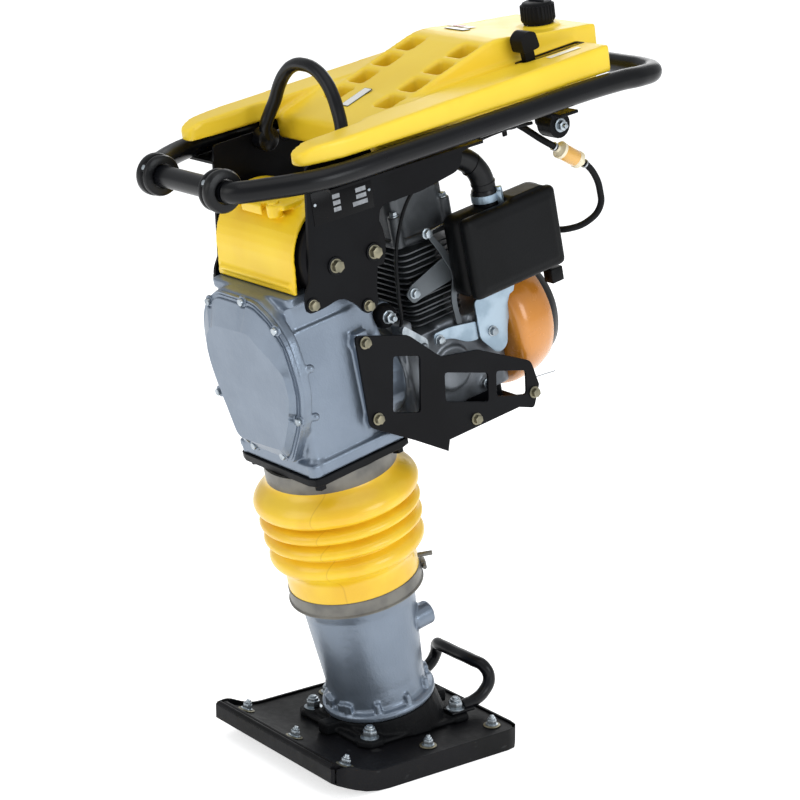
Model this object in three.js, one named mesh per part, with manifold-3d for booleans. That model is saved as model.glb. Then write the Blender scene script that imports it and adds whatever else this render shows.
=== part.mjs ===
// Jumping jack rammer (vibratory tamping rammer), in millimetres.
// +Z up, -Y the travel direction, origin at the centre of the sole's flat face.
// Three frames are used: the floor frame for the foot, a leaning frame along the leg for the machine
// (x across, y rearwards, z up the leg), and a handle frame along the handle tube for what it carries.
import * as THREE from 'three';
import { mergeVertices } from 'three/addons/utils/BufferGeometryUtils.js';
import Module from 'manifold-3d';

const wasm = await Module();
wasm.setup();

// Driving dimensions.
const GAP = 0.3;                 // between pieces that touch
const LEAN = THREE.MathUtils.degToRad(12.742);
const LEG_Y = 21.17;             // where the leg's axis meets the sole plane
const HANDLE_TILT = THREE.MathUtils.degToRad(-3.55);
const HANDLE_Z = 922;            // handle tube's centre above the sole, up the leg's axis
const SHOE = { half: 159, rear: 153, front: -190, rim: 33, lip: 52, wall: 4 };
const LEG = { bottom: 70.3, flangeR: 83.3, lowR: 73, topR: 84, rim: 284, boreR: 58, lid: 296, neckR: 60,
  throughR: 34 };
const BELLOWS = { low: 256, high: 478, collarR: 95.5, wall: 3.5, folds: 4, foldR: 117 };
const BAND = { height: 20, thickness: 1.8 };
const PLATE = { low: 480, high: 491, half: 97, front: -91, rear: 82 };
const CRANK = { z: 650, throwR: 20, gearTeeth: 48, pinionTeeth: 16, module: 2.75, low: 34, high: 54 };
const ENGINE_Z = CRANK.z - CRANK.module * (CRANK.gearTeeth + CRANK.pinionTeeth) / 2;
const DRUM = { y: 25, z: 792, r: 60, half: 62, mountR: 71, coverR: 79, coverHalf: 94, portX: 42, portZ: 817 };
const BRACKET = { x: 110, thickness: 5 };
const GUARD = { x: 100.3, thickness: 4 };
const ENGINE = { front: 112.3, rear: 300, half: 62, low: 486, high: 612, cylinderY: 200, headZ: 742, finHalf: 58,
  fanR: 100, recoilR: 86 };
const GOVERNOR = { y: 150, z: 598 };
const CHOKE = [296, 666];
const AIR_BOX = { inner: 64, seam: 104, outer: 126, front: 218, rear: 388, low: 650, high: 772, port: [86, 289] };
const TUBE_R = 15;
const TUBE_X = 168;
const ROLLER = { x: 78, width: 28, r: 29.5, bore: 17 };
const TANK = { side: 165, inner: 118, front: -45, rear: 490, blockRear: 537, blockHalf: 88, bottom: -12 };
const CAP = { x: 35, y: 472, z: 84, r: 26 };
const SLOT = { x: 110, half: 7, front: 372, rear: 478 };
const LEVER = { y: 398, z: -34, rest: THREE.MathUtils.degToRad(8) };
const FILTER_R = 13;

// Colours, roughness and metalness.
const LOOKS = {
  yellow: [0xf0cd32, 0.45, 0],
  amber: [0xe4af2d, 0.5, 0],
  silver: [0x8796a5, 0.4, 0.6],
  black: [0x17191c, 0.4, 0.2],
  rubber: [0x1c1c1d, 0.75, 0],
  steel: [0x8b8f92, 0.35, 0.9],
  darkCast: [0x4b4e52, 0.55, 0.6],
  orange: [0xc8823c, 0.45, 0.1],
  clear: [0xe6c88c, 0.2, 0],
};

// Geometry helpers: every one takes and gives plain three.js geometries.

/** Closed solid from a geometry: corners merged, flat triangles dropped. */
function solid(geometry) {
  const bare = geometry.clone();
  bare.deleteAttribute('normal');
  bare.deleteAttribute('uv');
  const merged = mergeVertices(bare, 1e-4);
  const index = Array.from(merged.index.array);
  const triangles = [];
  for (let i = 0; i < index.length; i += 3) {
    const [a, b, c] = index.slice(i, i + 3);
    if (a !== b && b !== c && c !== a) triangles.push(a, b, c);
  }
  return new wasm.Manifold(new wasm.Mesh({
    numProp: 3,
    vertProperties: new Float32Array(merged.attributes.position.array),
    triVerts: new Uint32Array(triangles),
  }));
}

/** Plain geometry from a solid. */
function geometryOf(manifold) {
  const mesh = manifold.getMesh();
  const geometry = new THREE.BufferGeometry();
  geometry.setAttribute('position', new THREE.BufferAttribute(mesh.vertProperties, 3));
  geometry.setIndex(new THREE.BufferAttribute(mesh.triVerts, 1));
  return geometry;
}

const join = (...all) => geometryOf(all.map(solid).reduce((sum, next) => sum.add(next)));
const cut = (body, ...tools) => geometryOf(tools.map(solid).reduce((left, tool) => left.subtract(tool), solid(body)));
const common = (a, b) => geometryOf(solid(a).intersect(solid(b)));

/** Outline from [a, b, cornerRadius] points; a corner takes less than half of each edge beside it. */
function outline(points) {
  const shape = new THREE.Shape();
  points.forEach(([a, b, wanted = 0], i) => {
    const here = new THREE.Vector2(a, b);
    const before = new THREE.Vector2(...points.at(i - 1).slice(0, 2)).sub(here);
    const after = new THREE.Vector2(...points[(i + 1) % points.length].slice(0, 2)).sub(here);
    const radius = Math.min(wanted, 0.45 * before.length(), 0.45 * after.length());
    const start = before.setLength(radius).add(here);
    const end = after.setLength(radius).add(here);
    if (i === 0) shape.moveTo(start.x, start.y);
    else shape.lineTo(start.x, start.y);
    if (radius > 0) shape.quadraticCurveTo(here.x, here.y, end.x, end.y);
  });
  shape.closePath();
  return shape;
}

const TURNS = {
  x: new THREE.Matrix4().makeBasis(new THREE.Vector3(0, 1, 0), new THREE.Vector3(0, 0, 1), new THREE.Vector3(1, 0, 0)),
  y: new THREE.Matrix4().makeBasis(new THREE.Vector3(1, 0, 0), new THREE.Vector3(0, 0, 1), new THREE.Vector3(0, -1, 0)),
  z: new THREE.Matrix4(),
};

/** Prism along an axis: the outline lies in the other two axes, in x, y, z order. */
function slab(axis, points, from, to, curveSegments = 3) {
  const options = { depth: to - from, bevelEnabled: false, curveSegments };
  const geometry = new THREE.ExtrudeGeometry(outline(points), options);
  geometry.applyMatrix4(TURNS[axis]);
  const shift = axis === 'y' ? to : from;
  return geometry.translate(axis === 'x' ? shift : 0, axis === 'y' ? shift : 0, axis === 'z' ? shift : 0);
}

/** Rectangle outline between two corners, its corners rounded. */
const rect = (a0, a1, b0, b1, r = 0) => [[a0, b0, r], [a1, b0, r], [a1, b1, r], [a0, b1, r]];

const box = (x0, x1, y0, y1, z0, z1, r = 0) => slab('z', rect(x0, x1, y0, y1, r), z0, z1, 2);

/** Cylinder or cone along an axis; a and b place its centre in the other two axes. */
function drum(axis, radius, from, to, [a, b] = [0, 0], segments = 16, endRadius = radius) {
  const geometry = new THREE.CylinderGeometry(endRadius, radius, to - from, segments);
  if (axis === 'x') geometry.rotateZ(-Math.PI / 2);
  if (axis === 'z') geometry.rotateX(Math.PI / 2);
  const middle = (from + to) / 2;
  const centre = { x: [middle, a, b], y: [a, middle, b], z: [a, b, middle] }[axis];
  return geometry.translate(...centre);
}

const ring = (axis, outer, inner, from, to, centre = [0, 0], segments = 20) =>
  cut(drum(axis, outer, from, to, centre, segments), drum(axis, inner, from - 1, to + 1, centre, segments));

/** Turned body about Z from [radius, height] points. */
function turned(profile, segments = 24) {
  const points = profile.map(([radius, height]) => new THREE.Vector2(radius, height));
  return new THREE.LatheGeometry(points, segments).rotateX(Math.PI / 2);
}

/** Round bar along a smooth path. */
function bar(points, radius, steps, sides = 10) {
  const path = new THREE.CatmullRomCurve3(points.map((p) => new THREE.Vector3(...p)), false, 'centripetal');
  const section = [];
  for (let i = 0; i < sides; i += 1) {
    const angle = 2 * Math.PI * i / sides;
    section.push(new THREE.Vector2(radius * Math.cos(angle), radius * Math.sin(angle)));
  }
  return new THREE.ExtrudeGeometry(new THREE.Shape(section), { steps, extrudePath: path });
}

/** The two ends of a stretch on one side of the middle plane, lower first. */
const span = (side, near, far) => [side * near, side * far].sort((a, b) => a - b);

const mirrored = (points) => points.map(([x, y, z]) => [-x, y, z]).reverse();
const byX = (points) => [...points, ...mirrored(points)];

const rammer = new THREE.Group();
const machine = new THREE.Group();
machine.position.y = LEG_Y;
machine.rotation.x = LEAN;
rammer.add(machine);
const handle = new THREE.Group();
handle.position.z = HANDLE_Z;
handle.rotation.x = HANDLE_TILT;
machine.add(handle);

/** Leaning frame to floor frame, for the foot parts that meet the leg. */
function leaned(geometry) {
  return geometry.applyMatrix4(new THREE.Matrix4().makeRotationX(LEAN).setPosition(0, LEG_Y, 0));
}

function add(group, name, look, geometry) {
  const [color, roughness, metalness] = LOOKS[look];
  const mesh = new THREE.Mesh(geometry, new THREE.MeshStandardMaterial({ color, roughness, metalness }));
  mesh.name = name;
  group.add(mesh);
}

// Foot, in the floor frame.

function shoeSide(inset, top, lip) {
  const { rear, front, wall } = SHOE;
  const low = inset;
  return [[rear - inset, top], [rear - inset, low, 10], [-125, low, 50], [front + inset, 30 + inset / wall, 0],
    [front + inset, lip], [-162, lip, 8], [-122, top, 24]];
}

function solePlate() {
  const { half, rear, front, rim, lip, wall } = SHOE;
  const body = slab('x', shoeSide(0, rim, lip), -half, half);
  const hollow = slab('x', shoeSide(wall, rim + 60, rim + 60), -half + wall, half - wall);
  const foldedLip = drum('x', 4.5, -half + 12, half - 12, [front + 5, lip], 10);
  const plan = slab('z', rect(-half, half, front - 5, rear, 26), -1, rim + 60);
  return common(join(cut(body, hollow), foldedLip), plan);
}

function shoeCore() {
  const inset = SHOE.wall + GAP;
  const plan = rect(-SHOE.half + inset, SHOE.half - inset, SHOE.front, SHOE.rear - inset, 22);
  const body = slab('x', shoeSide(inset, 30, 43), -SHOE.half + inset, SHOE.half - inset);
  return common(body, slab('z', plan, -1, 60));
}

function footFlange() {
  const base = box(-88, 88, -84, 114, 30.3, 38, 24);
  const rise = leaned(drum('z', 96, 10, LEG.bottom - GAP, [0, 0], 32, 84));
  const rib = box(-12, 12, -100, 126, 30.3, 50, 4);
  const above = box(-120, 120, -140, 140, 31, 120);
  return join(base, common(rise, above), common(rib, above));
}

function footHandle() {
  const path = byX([[71, 112, 46], [69, 136, 48], [66, 158, 60], [64, 168, 80], [58, 162, 100], [40, 153, 106]]);
  const tabs = [-72, 72].map((x) => box(x - 14, x + 14, 98, 122, 38 + GAP, 46, 6));
  return join(bar(path, 7.5, 28, 8), ...tabs);
}

add(rammer, 'sole_plate', 'black', solePlate());
add(rammer, 'shoe_core', 'black', shoeCore());
add(rammer, 'foot_flange', 'black', footFlange());
add(rammer, 'foot_handle', 'black', footHandle());

// Leg, in the leaning frame.

function springCylinder() {
  const { bottom, flangeR, lowR, topR, rim, boreR, lid, neckR } = LEG;
  const shell = turned([[0, bottom], [flangeR - 2, bottom], [flangeR, bottom + 3], [flangeR, 80], [lowR, 86],
    [lowR, 112], [topR, 236], [88, 250], [88, rim], [neckR, rim + 2], [neckR, 400], [boreR - 8, 400],
    [boreR - 8, lid + 6], [17, lid + 6], [17, lid - 2], [boreR, lid - 2], [boreR, 92], [0, 92]], 24);
  const flats = [];
  for (let i = 0; i < 6; i += 1) {
    const angle = (i + 0.5) * Math.PI / 3;
    flats.push(drum('z', 9, bottom + 2, 90, [75 * Math.cos(angle), 75 * Math.sin(angle)], 10));
  }
  const plugBoss = drum('y', 12, 60, 96, [52, 191], 16);
  return cut(join(shell, ...flats, plugBoss), drum('z', boreR - 1, 93, lid - 3, [0, 0], 24));
}

function bellows() {
  const { low, high, collarR, wall, folds, foldR } = BELLOWS;
  const outer = [[collarR - 2, low], [collarR - 2, low + 30]];
  const start = low + 34;
  const pitch = (high - 24 - start) / folds;
  for (let i = 0; i < folds; i += 1) {
    const z = start + i * pitch;
    outer.push([collarR + 7, z], [foldR, z + pitch * 0.36], [foldR - 2, z + pitch * 0.8]);
  }
  outer.push([collarR - 2, high - 20], [collarR - 2, high]);
  const inner = collarR - 2 - wall;
  return turned([...outer, [inner, high], [inner, low], outer[0]], 28);
}

function clampBand(low, tail) {
  const { height, thickness } = BAND;
  const inner = BELLOWS.collarR - 2 + GAP;
  const hoop = turned([[inner, low], [inner + thickness, low], [inner + thickness, low + height],
    [inner, low + height], [inner, low]], 28);
  const screw = box(tail - 9, tail + 9, inner - 8, inner + 9, low + 5, low + 15);
  const behind = cut(screw, drum('z', inner, low - 5, low + 30, [0, 0], 28));
  return join(hoop, behind);
}

function guideCylinder() {
  const inner = LEG.neckR + 0.5;
  return turned([[inner, 304], [70, 304], [70, 452], [87, 462], [87, PLATE.low - GAP],
    [LEG.throughR, PLATE.low - GAP], [LEG.throughR, 464], [inner, 452], [inner, 304]], 24);
}

function pistonRod() {
  const rod = drum('z', 13, 176, 484, [0, 0], 20);
  const collar = drum('z', 22, 470, 488, [0, 0], 20);
  const cheeks = [[-24, -13], [13, 24]].map(([y0, y1]) => box(-19, 19, y0, y1, 486, 552, 3));
  return join(rod, collar, box(-19, 19, -24, 24, 480, 488, 3), ...cheeks);
}

function coil(low, high, turns, radius, wire) {
  const points = [];
  const steps = turns * 8;
  for (let i = 0; i <= steps; i += 1) {
    const angle = 2 * Math.PI * turns * i / steps;
    const z = low + wire + (high - low - 2 * wire) * i / steps;
    points.push([radius * Math.cos(angle), radius * Math.sin(angle), z]);
  }
  return bar(points, wire, steps, 6);
}

add(machine, 'spring_cylinder', 'silver', springCylinder());
add(machine, 'lower_band', 'steel', clampBand(BELLOWS.low + 2, 0));
add(machine, 'upper_band', 'steel', clampBand(BELLOWS.high - BAND.height, 0));
add(machine, 'bellows', 'amber', bellows());
add(machine, 'guide_cylinder', 'steel', guideCylinder());
add(machine, 'piston_rod', 'steel', pistonRod());
add(machine, 'ram_piston', 'steel', ring('z', 54, 13 + GAP, 180, 200));
add(machine, 'lower_spring', 'steel', coil(94, 155, 3, 44, 5));
add(machine, 'upper_spring', 'steel', coil(225, 292, 3, 44, 5));

// Crankcase and drive, in the leaning frame.

/** Front rim of the crankcase, shrunk by an inset. */
function coverRim(inset, scale = 1) {
  const points = [[58, 512, 10], [99, 575, 20], [116, 628, 16], [115, 660, 16], [106, 706, 16], [80, 737, 14],
    [46, 756, 10]];
  const middle = 634;
  const side = points.map(([x, z, r]) => {
    const reach = Math.hypot(x, z - middle);
    const keep = scale * (reach - inset) / reach;
    return [x * keep, middle + (z - middle) * keep, r];
  });
  return [...side, ...side.map(([x, z, r]) => [-x, z, r]).reverse()];
}

function flangePlate() {
  const { low, high, half, front, rear } = PLATE;
  const plate = box(-half, half, front, rear, low, high, 18);
  return cut(plate, drum('z', LEG.throughR, low - 5, high + 5, [0, 0], 24));
}

function crankcase() {
  const { half, front, rear, high } = PLATE;
  const floor = box(-half + 3, half - 3, front + 3, rear - 2, high + GAP, high + 12, 16);
  const rim = slab('y', coverRim(0), front - 1, -76);
  const bay = slab('z', [[-88, -80, 10], [88, -80, 10], [88, 20, 10], [78, 74, 14], [-78, 74, 14], [-88, 20, 10]],
    495, 706);
  const shoulder = drum('y', 88, -60, 74, [0, 618], 24);
  const clutchHouse = drum('y', 66, 60, 112, [0, ENGINE_Z], 24);
  const neck = box(-84, 84, -76, 60, 700, 744, 12);
  const top = box(-95, 95, -74, 62, 742, 756, 8);
  const corners = [[-82, -76], [82, -76], [82, 68], [-82, 68]];
  const bosses = corners.map((corner) => drum('z', 13, high + GAP, high + 20, corner, 8));
  const ribs = [-1, 1].map((side) => box(...span(side, 80, 100), 18, 42, 528, 672, 5));
  const chamber = slab('y', coverRim(22, 0.86), front - 5, 46);
  const pit = box(-54, 54, -50, 50, 480, 660, 8);
  const pinionRoom = drum('y', 30, 40, 66, [0, ENGINE_Z], 20);
  const clutchRoom = drum('y', 56, 66, 130, [0, ENGINE_Z], 24);
  const gearRoom = drum('y', 74, 20, 58, [0, CRANK.z], 24);
  const shaftHole = drum('y', 13, 50, 70, [0, CRANK.z], 16);
  const body = join(floor, rim, bay, shoulder, clutchHouse, neck, top, ...bosses, ...ribs);
  return cut(body, chamber, pit, pinionRoom, clutchRoom, gearRoom, shaftHole);
}

function gearCover() {
  const back = PLATE.front - 1 - GAP;
  const rim = slab('y', coverRim(6), back - 9, back);
  const raised = slab('y', coverRim(22), back - 18, back - 6);
  const bearing = drum('y', 26, back - 1, back + 8, [0, CRANK.z], 20);
  return cut(join(rim, raised, bearing), drum('y', 13, back - 6, back + 20, [0, CRANK.z], 16));
}

/** Spur gear outline in the x, z plane, with a tooth or a gap pointing along the start angle. */
function gearOutline(teeth, startAngle) {
  const pitchR = CRANK.module * teeth / 2;
  const pitch = 2 * Math.PI / teeth;
  const profile = [[-0.29, -1.2], [-0.11, 0.8], [0.11, 0.8], [0.29, -1.2]];
  const points = [];
  for (let i = 0; i < teeth; i += 1) {
    profile.forEach(([along, height]) => {
      const angle = startAngle + (i + along) * pitch;
      const r = pitchR + height * CRANK.module;
      points.push([r * Math.cos(angle), r * Math.sin(angle)]);
    });
  }
  return points;
}

function gearBlank(teeth, centreZ, startAngle, from, to) {
  const points = gearOutline(teeth, startAngle).map(([x, z]) => [x, centreZ + z]);
  return slab('y', points, from, to);
}

function crankGear() {
  const { z, throwR, gearTeeth, low, high } = CRANK;
  const gear = gearBlank(gearTeeth, z, -Math.PI / 2, low, high);
  const rearJournal = drum('y', 12, high - 2, high + 12, [0, z], 16);
  const boss = drum('y', 24, 16, low + 2, [0, z], 20);
  const pin = drum('y', 11, -34, 20, [0, z - throwR], 16);
  const web = drum('y', 36, 14, 22, [0, z], 24);
  const frontWeb = drum('y', 36, -36, -26, [0, z], 24);
  const frontJournal = drum('y', 12, -93, -34, [0, z], 16);
  return join(gear, rearJournal, boss, pin, web, frontWeb, frontJournal);
}

function connectingRod() {
  const bigZ = CRANK.z - CRANK.throwR;
  const smallZ = bigZ - 96;
  const big = drum('y', 22, -10, 10, [0, bigZ], 20);
  const small = drum('y', 15, -10, 10, [0, smallZ], 16);
  const shank = box(-9, 9, -7, 7, smallZ, bigZ);
  return cut(join(big, small, shank), drum('y', 11.5, -12, 12, [0, bigZ], 20));
}

function pinionShaft() {
  const { pinionTeeth, low, high } = CRANK;
  const halfGap = Math.PI / pinionTeeth;
  const pinion = gearBlank(pinionTeeth, ENGINE_Z, Math.PI / 2 + halfGap, low - 1, high + 1);
  return join(pinion, drum('y', 10, high - 2, 74, [0, ENGINE_Z], 16));
}

function clutchDrum() {
  const cup = drum('y', 50, 72, 108, [0, ENGINE_Z], 28);
  return cut(cup, drum('y', 46, 78, 112, [0, ENGINE_Z], 28), drum('y', 10 + GAP, 60, 80, [0, ENGINE_Z], 16));
}

function clutchHub() {
  const hub = drum('y', 40, 82, 104, [0, ENGINE_Z], 24);
  const slots = [-1, 1].map((side) => box(...span(side, 16, 50), 78, 106, ENGINE_Z - 2, ENGINE_Z + 2));
  return cut(hub, drum('y', 10, 70, 120, [0, ENGINE_Z], 16), ...slots);
}

add(machine, 'flange_plate', 'black', flangePlate());
add(machine, 'crankcase', 'silver', crankcase());
add(machine, 'gear_cover', 'silver', gearCover());
add(machine, 'crank_gear', 'steel', crankGear());
add(machine, 'connecting_rod', 'steel', connectingRod());
add(machine, 'pinion_shaft', 'steel', pinionShaft());
add(machine, 'clutch_drum', 'steel', clutchDrum());
add(machine, 'clutch_hub', 'darkCast', clutchHub());

// Top of the machine, in the leaning frame.

const arc = (centreA, centreB, radius, from, to, steps) => Array.from({ length: steps + 1 }, (_, i) => {
  const angle = THREE.MathUtils.degToRad(from + (to - from) * i / steps);
  return [centreA + radius * Math.cos(angle), centreB + radius * Math.sin(angle)];
});

const TOP_Z = 756;

function cleanerDrum() {
  const { y, z, r, half } = DRUM;
  const base = box(-half, half, y - 40, y + 30, TOP_Z + GAP, z);
  const above = box(-200, 200, y - 100, y + 100, TOP_Z + GAP, z + 100);
  const spigot = drum('y', 17, y + 30, y + 63, [DRUM.portX, DRUM.portZ], 16);
  const body = common(join(drum('x', r, -half, half, [y, z], 32), base, spigot), above);
  const room = box(-99, 99, y - 99, y + 99, TOP_Z + 8, z + 99);
  const inside = common(drum('x', r - 5, -half + 5, half - 5, [y, z], 32), room);
  return cut(body, inside, drum('y', 13, y + 20, y + 70, [DRUM.portX, DRUM.portZ], 16));
}

function rubberMount(side) {
  const { y, z, half, mountR } = DRUM;
  const ends = [side * (half + GAP), side * (BRACKET.x - GAP)].sort((a, b) => a - b);
  return cut(drum('x', mountR, ...ends, [y, z], 28), box(-96, 96, y - 99, y + 99, z - 99, TOP_Z + GAP));
}

function topCover() {
  const { y, z, coverR, coverHalf } = DRUM;
  const shell = (r, foot) => [[-59 + foot, TOP_Z + 1], ...arc(y, z, r, 180, 55, 14)];
  const outer = slab('x', [...shell(coverR, 0), [y, z + 20], [-40, TOP_Z + 1]], -coverHalf, coverHalf, 1);
  const inner = slab('x', [...shell(coverR - 5, 5), [y + 90, z + 60], [y + 60, TOP_Z - 10], [-54, TOP_Z - 10]],
    -coverHalf - 1, coverHalf + 1, 1);
  const bead = bar([[-coverHalf + 8, -57, 769], [0, -57, 769], [coverHalf - 8, -57, 769]], 5, 2, 8);
  return join(cut(outer, inner), bead);
}

/** Handle frame to leaning frame. */
function tilted(geometry) {
  return geometry.applyMatrix4(new THREE.Matrix4().makeRotationX(HANDLE_TILT).setPosition(0, 0, HANDLE_Z));
}

function bracket(side) {
  const { x, thickness } = BRACKET;
  const sheet = [[-20, 905], [-14, 930, 6], [90, 926, 6], [98, 900, 6], [240, 889.5, 4], [243, 862, 10], [231, 843, 14],
    [162, 836, 10], [90, 840, 14], [60, 730], [58, 704, 10], [36, 698, 10], [22, 720, 14], [0, 738, 14], [-30, 733, 10],
    [-58, 733, 10], [-56, 758, 10], [-44, 775]];
  const [low, high] = span(side, x, x + thickness);
  const plate = slab('x', sheet, low, high, 3);
  const [inner, outer] = span(side, x + 1, TUBE_X + 4);
  return join(plate, tilted(box(inner, outer, -20, 240, -TUBE_R - 4, -TUBE_R - GAP)));
}

add(machine, 'cleaner_drum', 'black', cleanerDrum());
add(machine, 'top_cover', 'yellow', topCover());
for (const [name, side] of [['left', 1], ['right', -1]]) {
  add(machine, `rubber_mount_${name}`, 'rubber', rubberMount(side));
  add(machine, `bracket_${name}`, 'black', bracket(side));
}

// Engine, in the leaning frame.

function engineBlock() {
  const { front, rear, half, low, high, cylinderY } = ENGINE;
  const body = box(-half, half, front, rear, low, high, 12);
  const nose = drum('y', 64, front, front + 16, [0, ENGINE_Z], 28);
  const pivot = drum('x', 5, half - 4, half + 12, [GOVERNOR.y, GOVERNOR.z], 12);
  const chamber = drum('y', 44, front + 16, rear - 10, [0, ENGINE_Z], 24);
  const shaftHole = drum('y', 12, front - 5, rear + 5, [0, ENGINE_Z], 20);
  const bore = drum('z', 24, ENGINE_Z, high + 5, [0, cylinderY], 20);
  return cut(join(body, nose, pivot), chamber, shaftHole, bore);
}

function cylinder() {
  const { cylinderY, high, headZ, finHalf } = ENGINE;
  const core = drum('z', 34, high + GAP, headZ, [0, cylinderY], 16);
  const fins = [];
  for (let z = high + 14; z < headZ - 4; z += 16) {
    fins.push(box(-finHalf, finHalf, cylinderY - 50, cylinderY + 50, z, z + 5));
  }
  return cut(join(core, ...fins), drum('z', 24, high - 5, headZ - 12, [0, cylinderY], 20));
}

function flywheel() {
  const disc = drum('y', 80, 318, 328, [0, ENGINE_Z], 24);
  const blades = [];
  for (let i = 0; i < 10; i += 1) {
    const blade = box(44, 78, -2, 2, 0, 16).rotateX(-Math.PI / 2).rotateY(i * Math.PI / 5);
    blades.push(blade.translate(0, 326, ENGINE_Z));
  }
  return cut(join(disc, ...blades), drum('y', 10, 300, 360, [0, ENGINE_Z], 20));
}

function engineCrank() {
  const shaft = drum('y', 9.7, 80, 352, [0, ENGINE_Z], 20);
  const webs = [[182, 192], [208, 218]].map(([from, to]) => drum('y', 38, from, to, [0, ENGINE_Z], 24));
  return join(shaft, ...webs);
}

function fanHousing() {
  const { rear, fanR } = ENGINE;
  const shell = drum('y', fanR, rear + GAP, 372, [0, ENGINE_Z], 28, fanR - 6);
  const inside = drum('y', fanR - 5, rear + 5, 380, [0, ENGINE_Z], 28, fanR - 11);
  return cut(shell, inside, drum('y', 30, rear - 5, rear + 20, [0, ENGINE_Z], 20));
}

/** Point at a distance from the engine's axis, up and out to the machine's right. */
const pullPoint = (distance, y) => [-distance * Math.SQRT1_2, y, ENGINE_Z + distance * Math.SQRT1_2];

function recoilCover() {
  const { recoilR } = ENGINE;
  const shell = drum('y', recoilR, 372 + GAP, 398, [0, ENGINE_Z], 24, recoilR - 10);
  const inside = drum('y', recoilR - 6, 370, 393, [0, ENGINE_Z], 24, recoilR - 16);
  return cut(shell, inside, bar([pullPoint(50, 384), pullPoint(110, 384)], 4.5, 1, 10));
}

function starterGrip() {
  const centre = new THREE.Vector3(...pullPoint(102, 384));
  const across = new THREE.Vector3(Math.SQRT1_2, 0, Math.SQRT1_2).multiplyScalar(27);
  const ends = [centre.clone().sub(across), centre, centre.clone().add(across)].map((p) => p.toArray());
  return join(bar(ends, 8, 4, 10), bar([pullPoint(44, 384), pullPoint(102, 384)], 2.2, 1, 8));
}

function carburettor() {
  const body = box(-24, 40, 254 + GAP, 300, 655, 705, 8);
  const throat = drum('x', 14, 36, AIR_BOX.inner - GAP, [277, 680], 16);
  const bowl = drum('z', 20, 628, 660, [8, 279], 20);
  const inlet = drum('y', 5, 298, 312, [30, 690], 12);
  const chokePin = drum('x', 3, 38, 50, CHOKE, 10);
  const bore = drum('x', 10, -10, AIR_BOX.inner + 5, [277, 680], 16);
  return cut(join(body, throat, bowl, inlet, chokePin), bore);
}

function chokeLever() {
  const [y, z] = CHOKE;
  const hub = drum('x', 6, 42, 47, CHOKE, 14);
  const arm = box(42, 45, y - 3, y + 3, z, z + 34, 2);
  return cut(join(hub, arm), drum('x', 3.4, 30, 60, CHOKE, 12));
}

function governorArm() {
  const { y, z } = GOVERNOR;
  const x0 = ENGINE.half + 4;
  const side = [[y + 8, z - 8, 4], [y - 8, z - 8, 4], [116, 630, 4], [122, 640, 4], [y + 8, z + 8, 4]];
  const arm = slab('x', side, x0, x0 + 4, 2);
  return cut(arm, drum('x', 5.4, x0 - 5, x0 + 10, [y, z], 14));
}

function airBox() {
  const { inner, seam, front, rear, low, high, port } = AIR_BOX;
  const body = slab('x', rect(front, rear, low, high, 20), inner, seam, 3);
  const hollow = slab('x', rect(front + 4, rear - 4, low + 4, high - 4, 16), inner + 4, seam + 5, 3);
  const spigot = drum('z', 15, high - 3, high + 12, port, 18);
  const outlet = drum('x', 10, inner - 2, inner + 8, [277, 680], 16);
  return cut(join(body, spigot), hollow, drum('z', 12, high - 10, high + 20, port, 18), outlet);
}

function airBoxCover() {
  const { seam, outer, front, rear, low, high } = AIR_BOX;
  const body = slab('x', rect(front, rear, low, high, 20), seam + GAP, outer - 4, 3);
  const face = slab('x', rect(front + 6, rear - 6, low + 6, high - 6, 16), outer - 5, outer, 3);
  const hollow = slab('x', rect(front + 5, rear - 5, low + 5, high - 5, 16), seam - 5, outer - 8, 3);
  return cut(join(body, face), hollow);
}

const ELBOW_ROUTE = [[86, 289, 785], [86, 290, 800], [84, 283, 824], [80, 262, 846], [75, 232, 856], [68, 190, 858],
  [60, 150, 850], [49, 122, 832], [43, 105, 820], [42, 93, 817]];

function intakeElbow() {
  const tube = bar(ELBOW_ROUTE, 17, 16, 12);
  const sleeve = ring('z', 18.5, 15.3, 773, 787, AIR_BOX.port, 16);
  return join(tube, sleeve);
}

function muffler() {
  const body = box(-124, -66, 150, 290, 640, 738, 14);
  const pipe = drum('x', 14, -70, -ENGINE.finHalf - GAP, [ENGINE.cylinderY, 722], 16);
  const tail = drum('y', 9, 285, 302, [-104, 660], 14);
  const inside = box(-120, -70, 154, 286, 644, 734, 12);
  return cut(join(body, pipe, tail), inside, drum('y', 6.5, 280, 310, [-104, 660], 14));
}

function guard(side) {
  const { x, thickness } = GUARD;
  const sheet = [[16, 672, 8], [104, 640, 6], [152, 588, 8], [217, 574, 6], [308, 521, 8], [316, 480], [300, 448, 6],
    [273, 460], [141, 462], [135, 446], [84, 484, 6], [12, 534, 8]];
  const [low, high] = span(side, x, x + thickness);
  const windows = [
    [[72, 620, 5], [117, 603, 5], [100, 522, 5], [54, 540, 5]],
    [[153, 563, 5], [228, 533, 5], [220, 490, 5], [146, 520, 5]],
    [[243, 530, 5], [296, 510, 5], [290, 474, 5], [236, 492, 5]],
  ].map((points) => slab('x', points, low - 5, high + 5, 2));
  return cut(slab('x', sheet, low, high, 3), ...windows);
}

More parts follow.
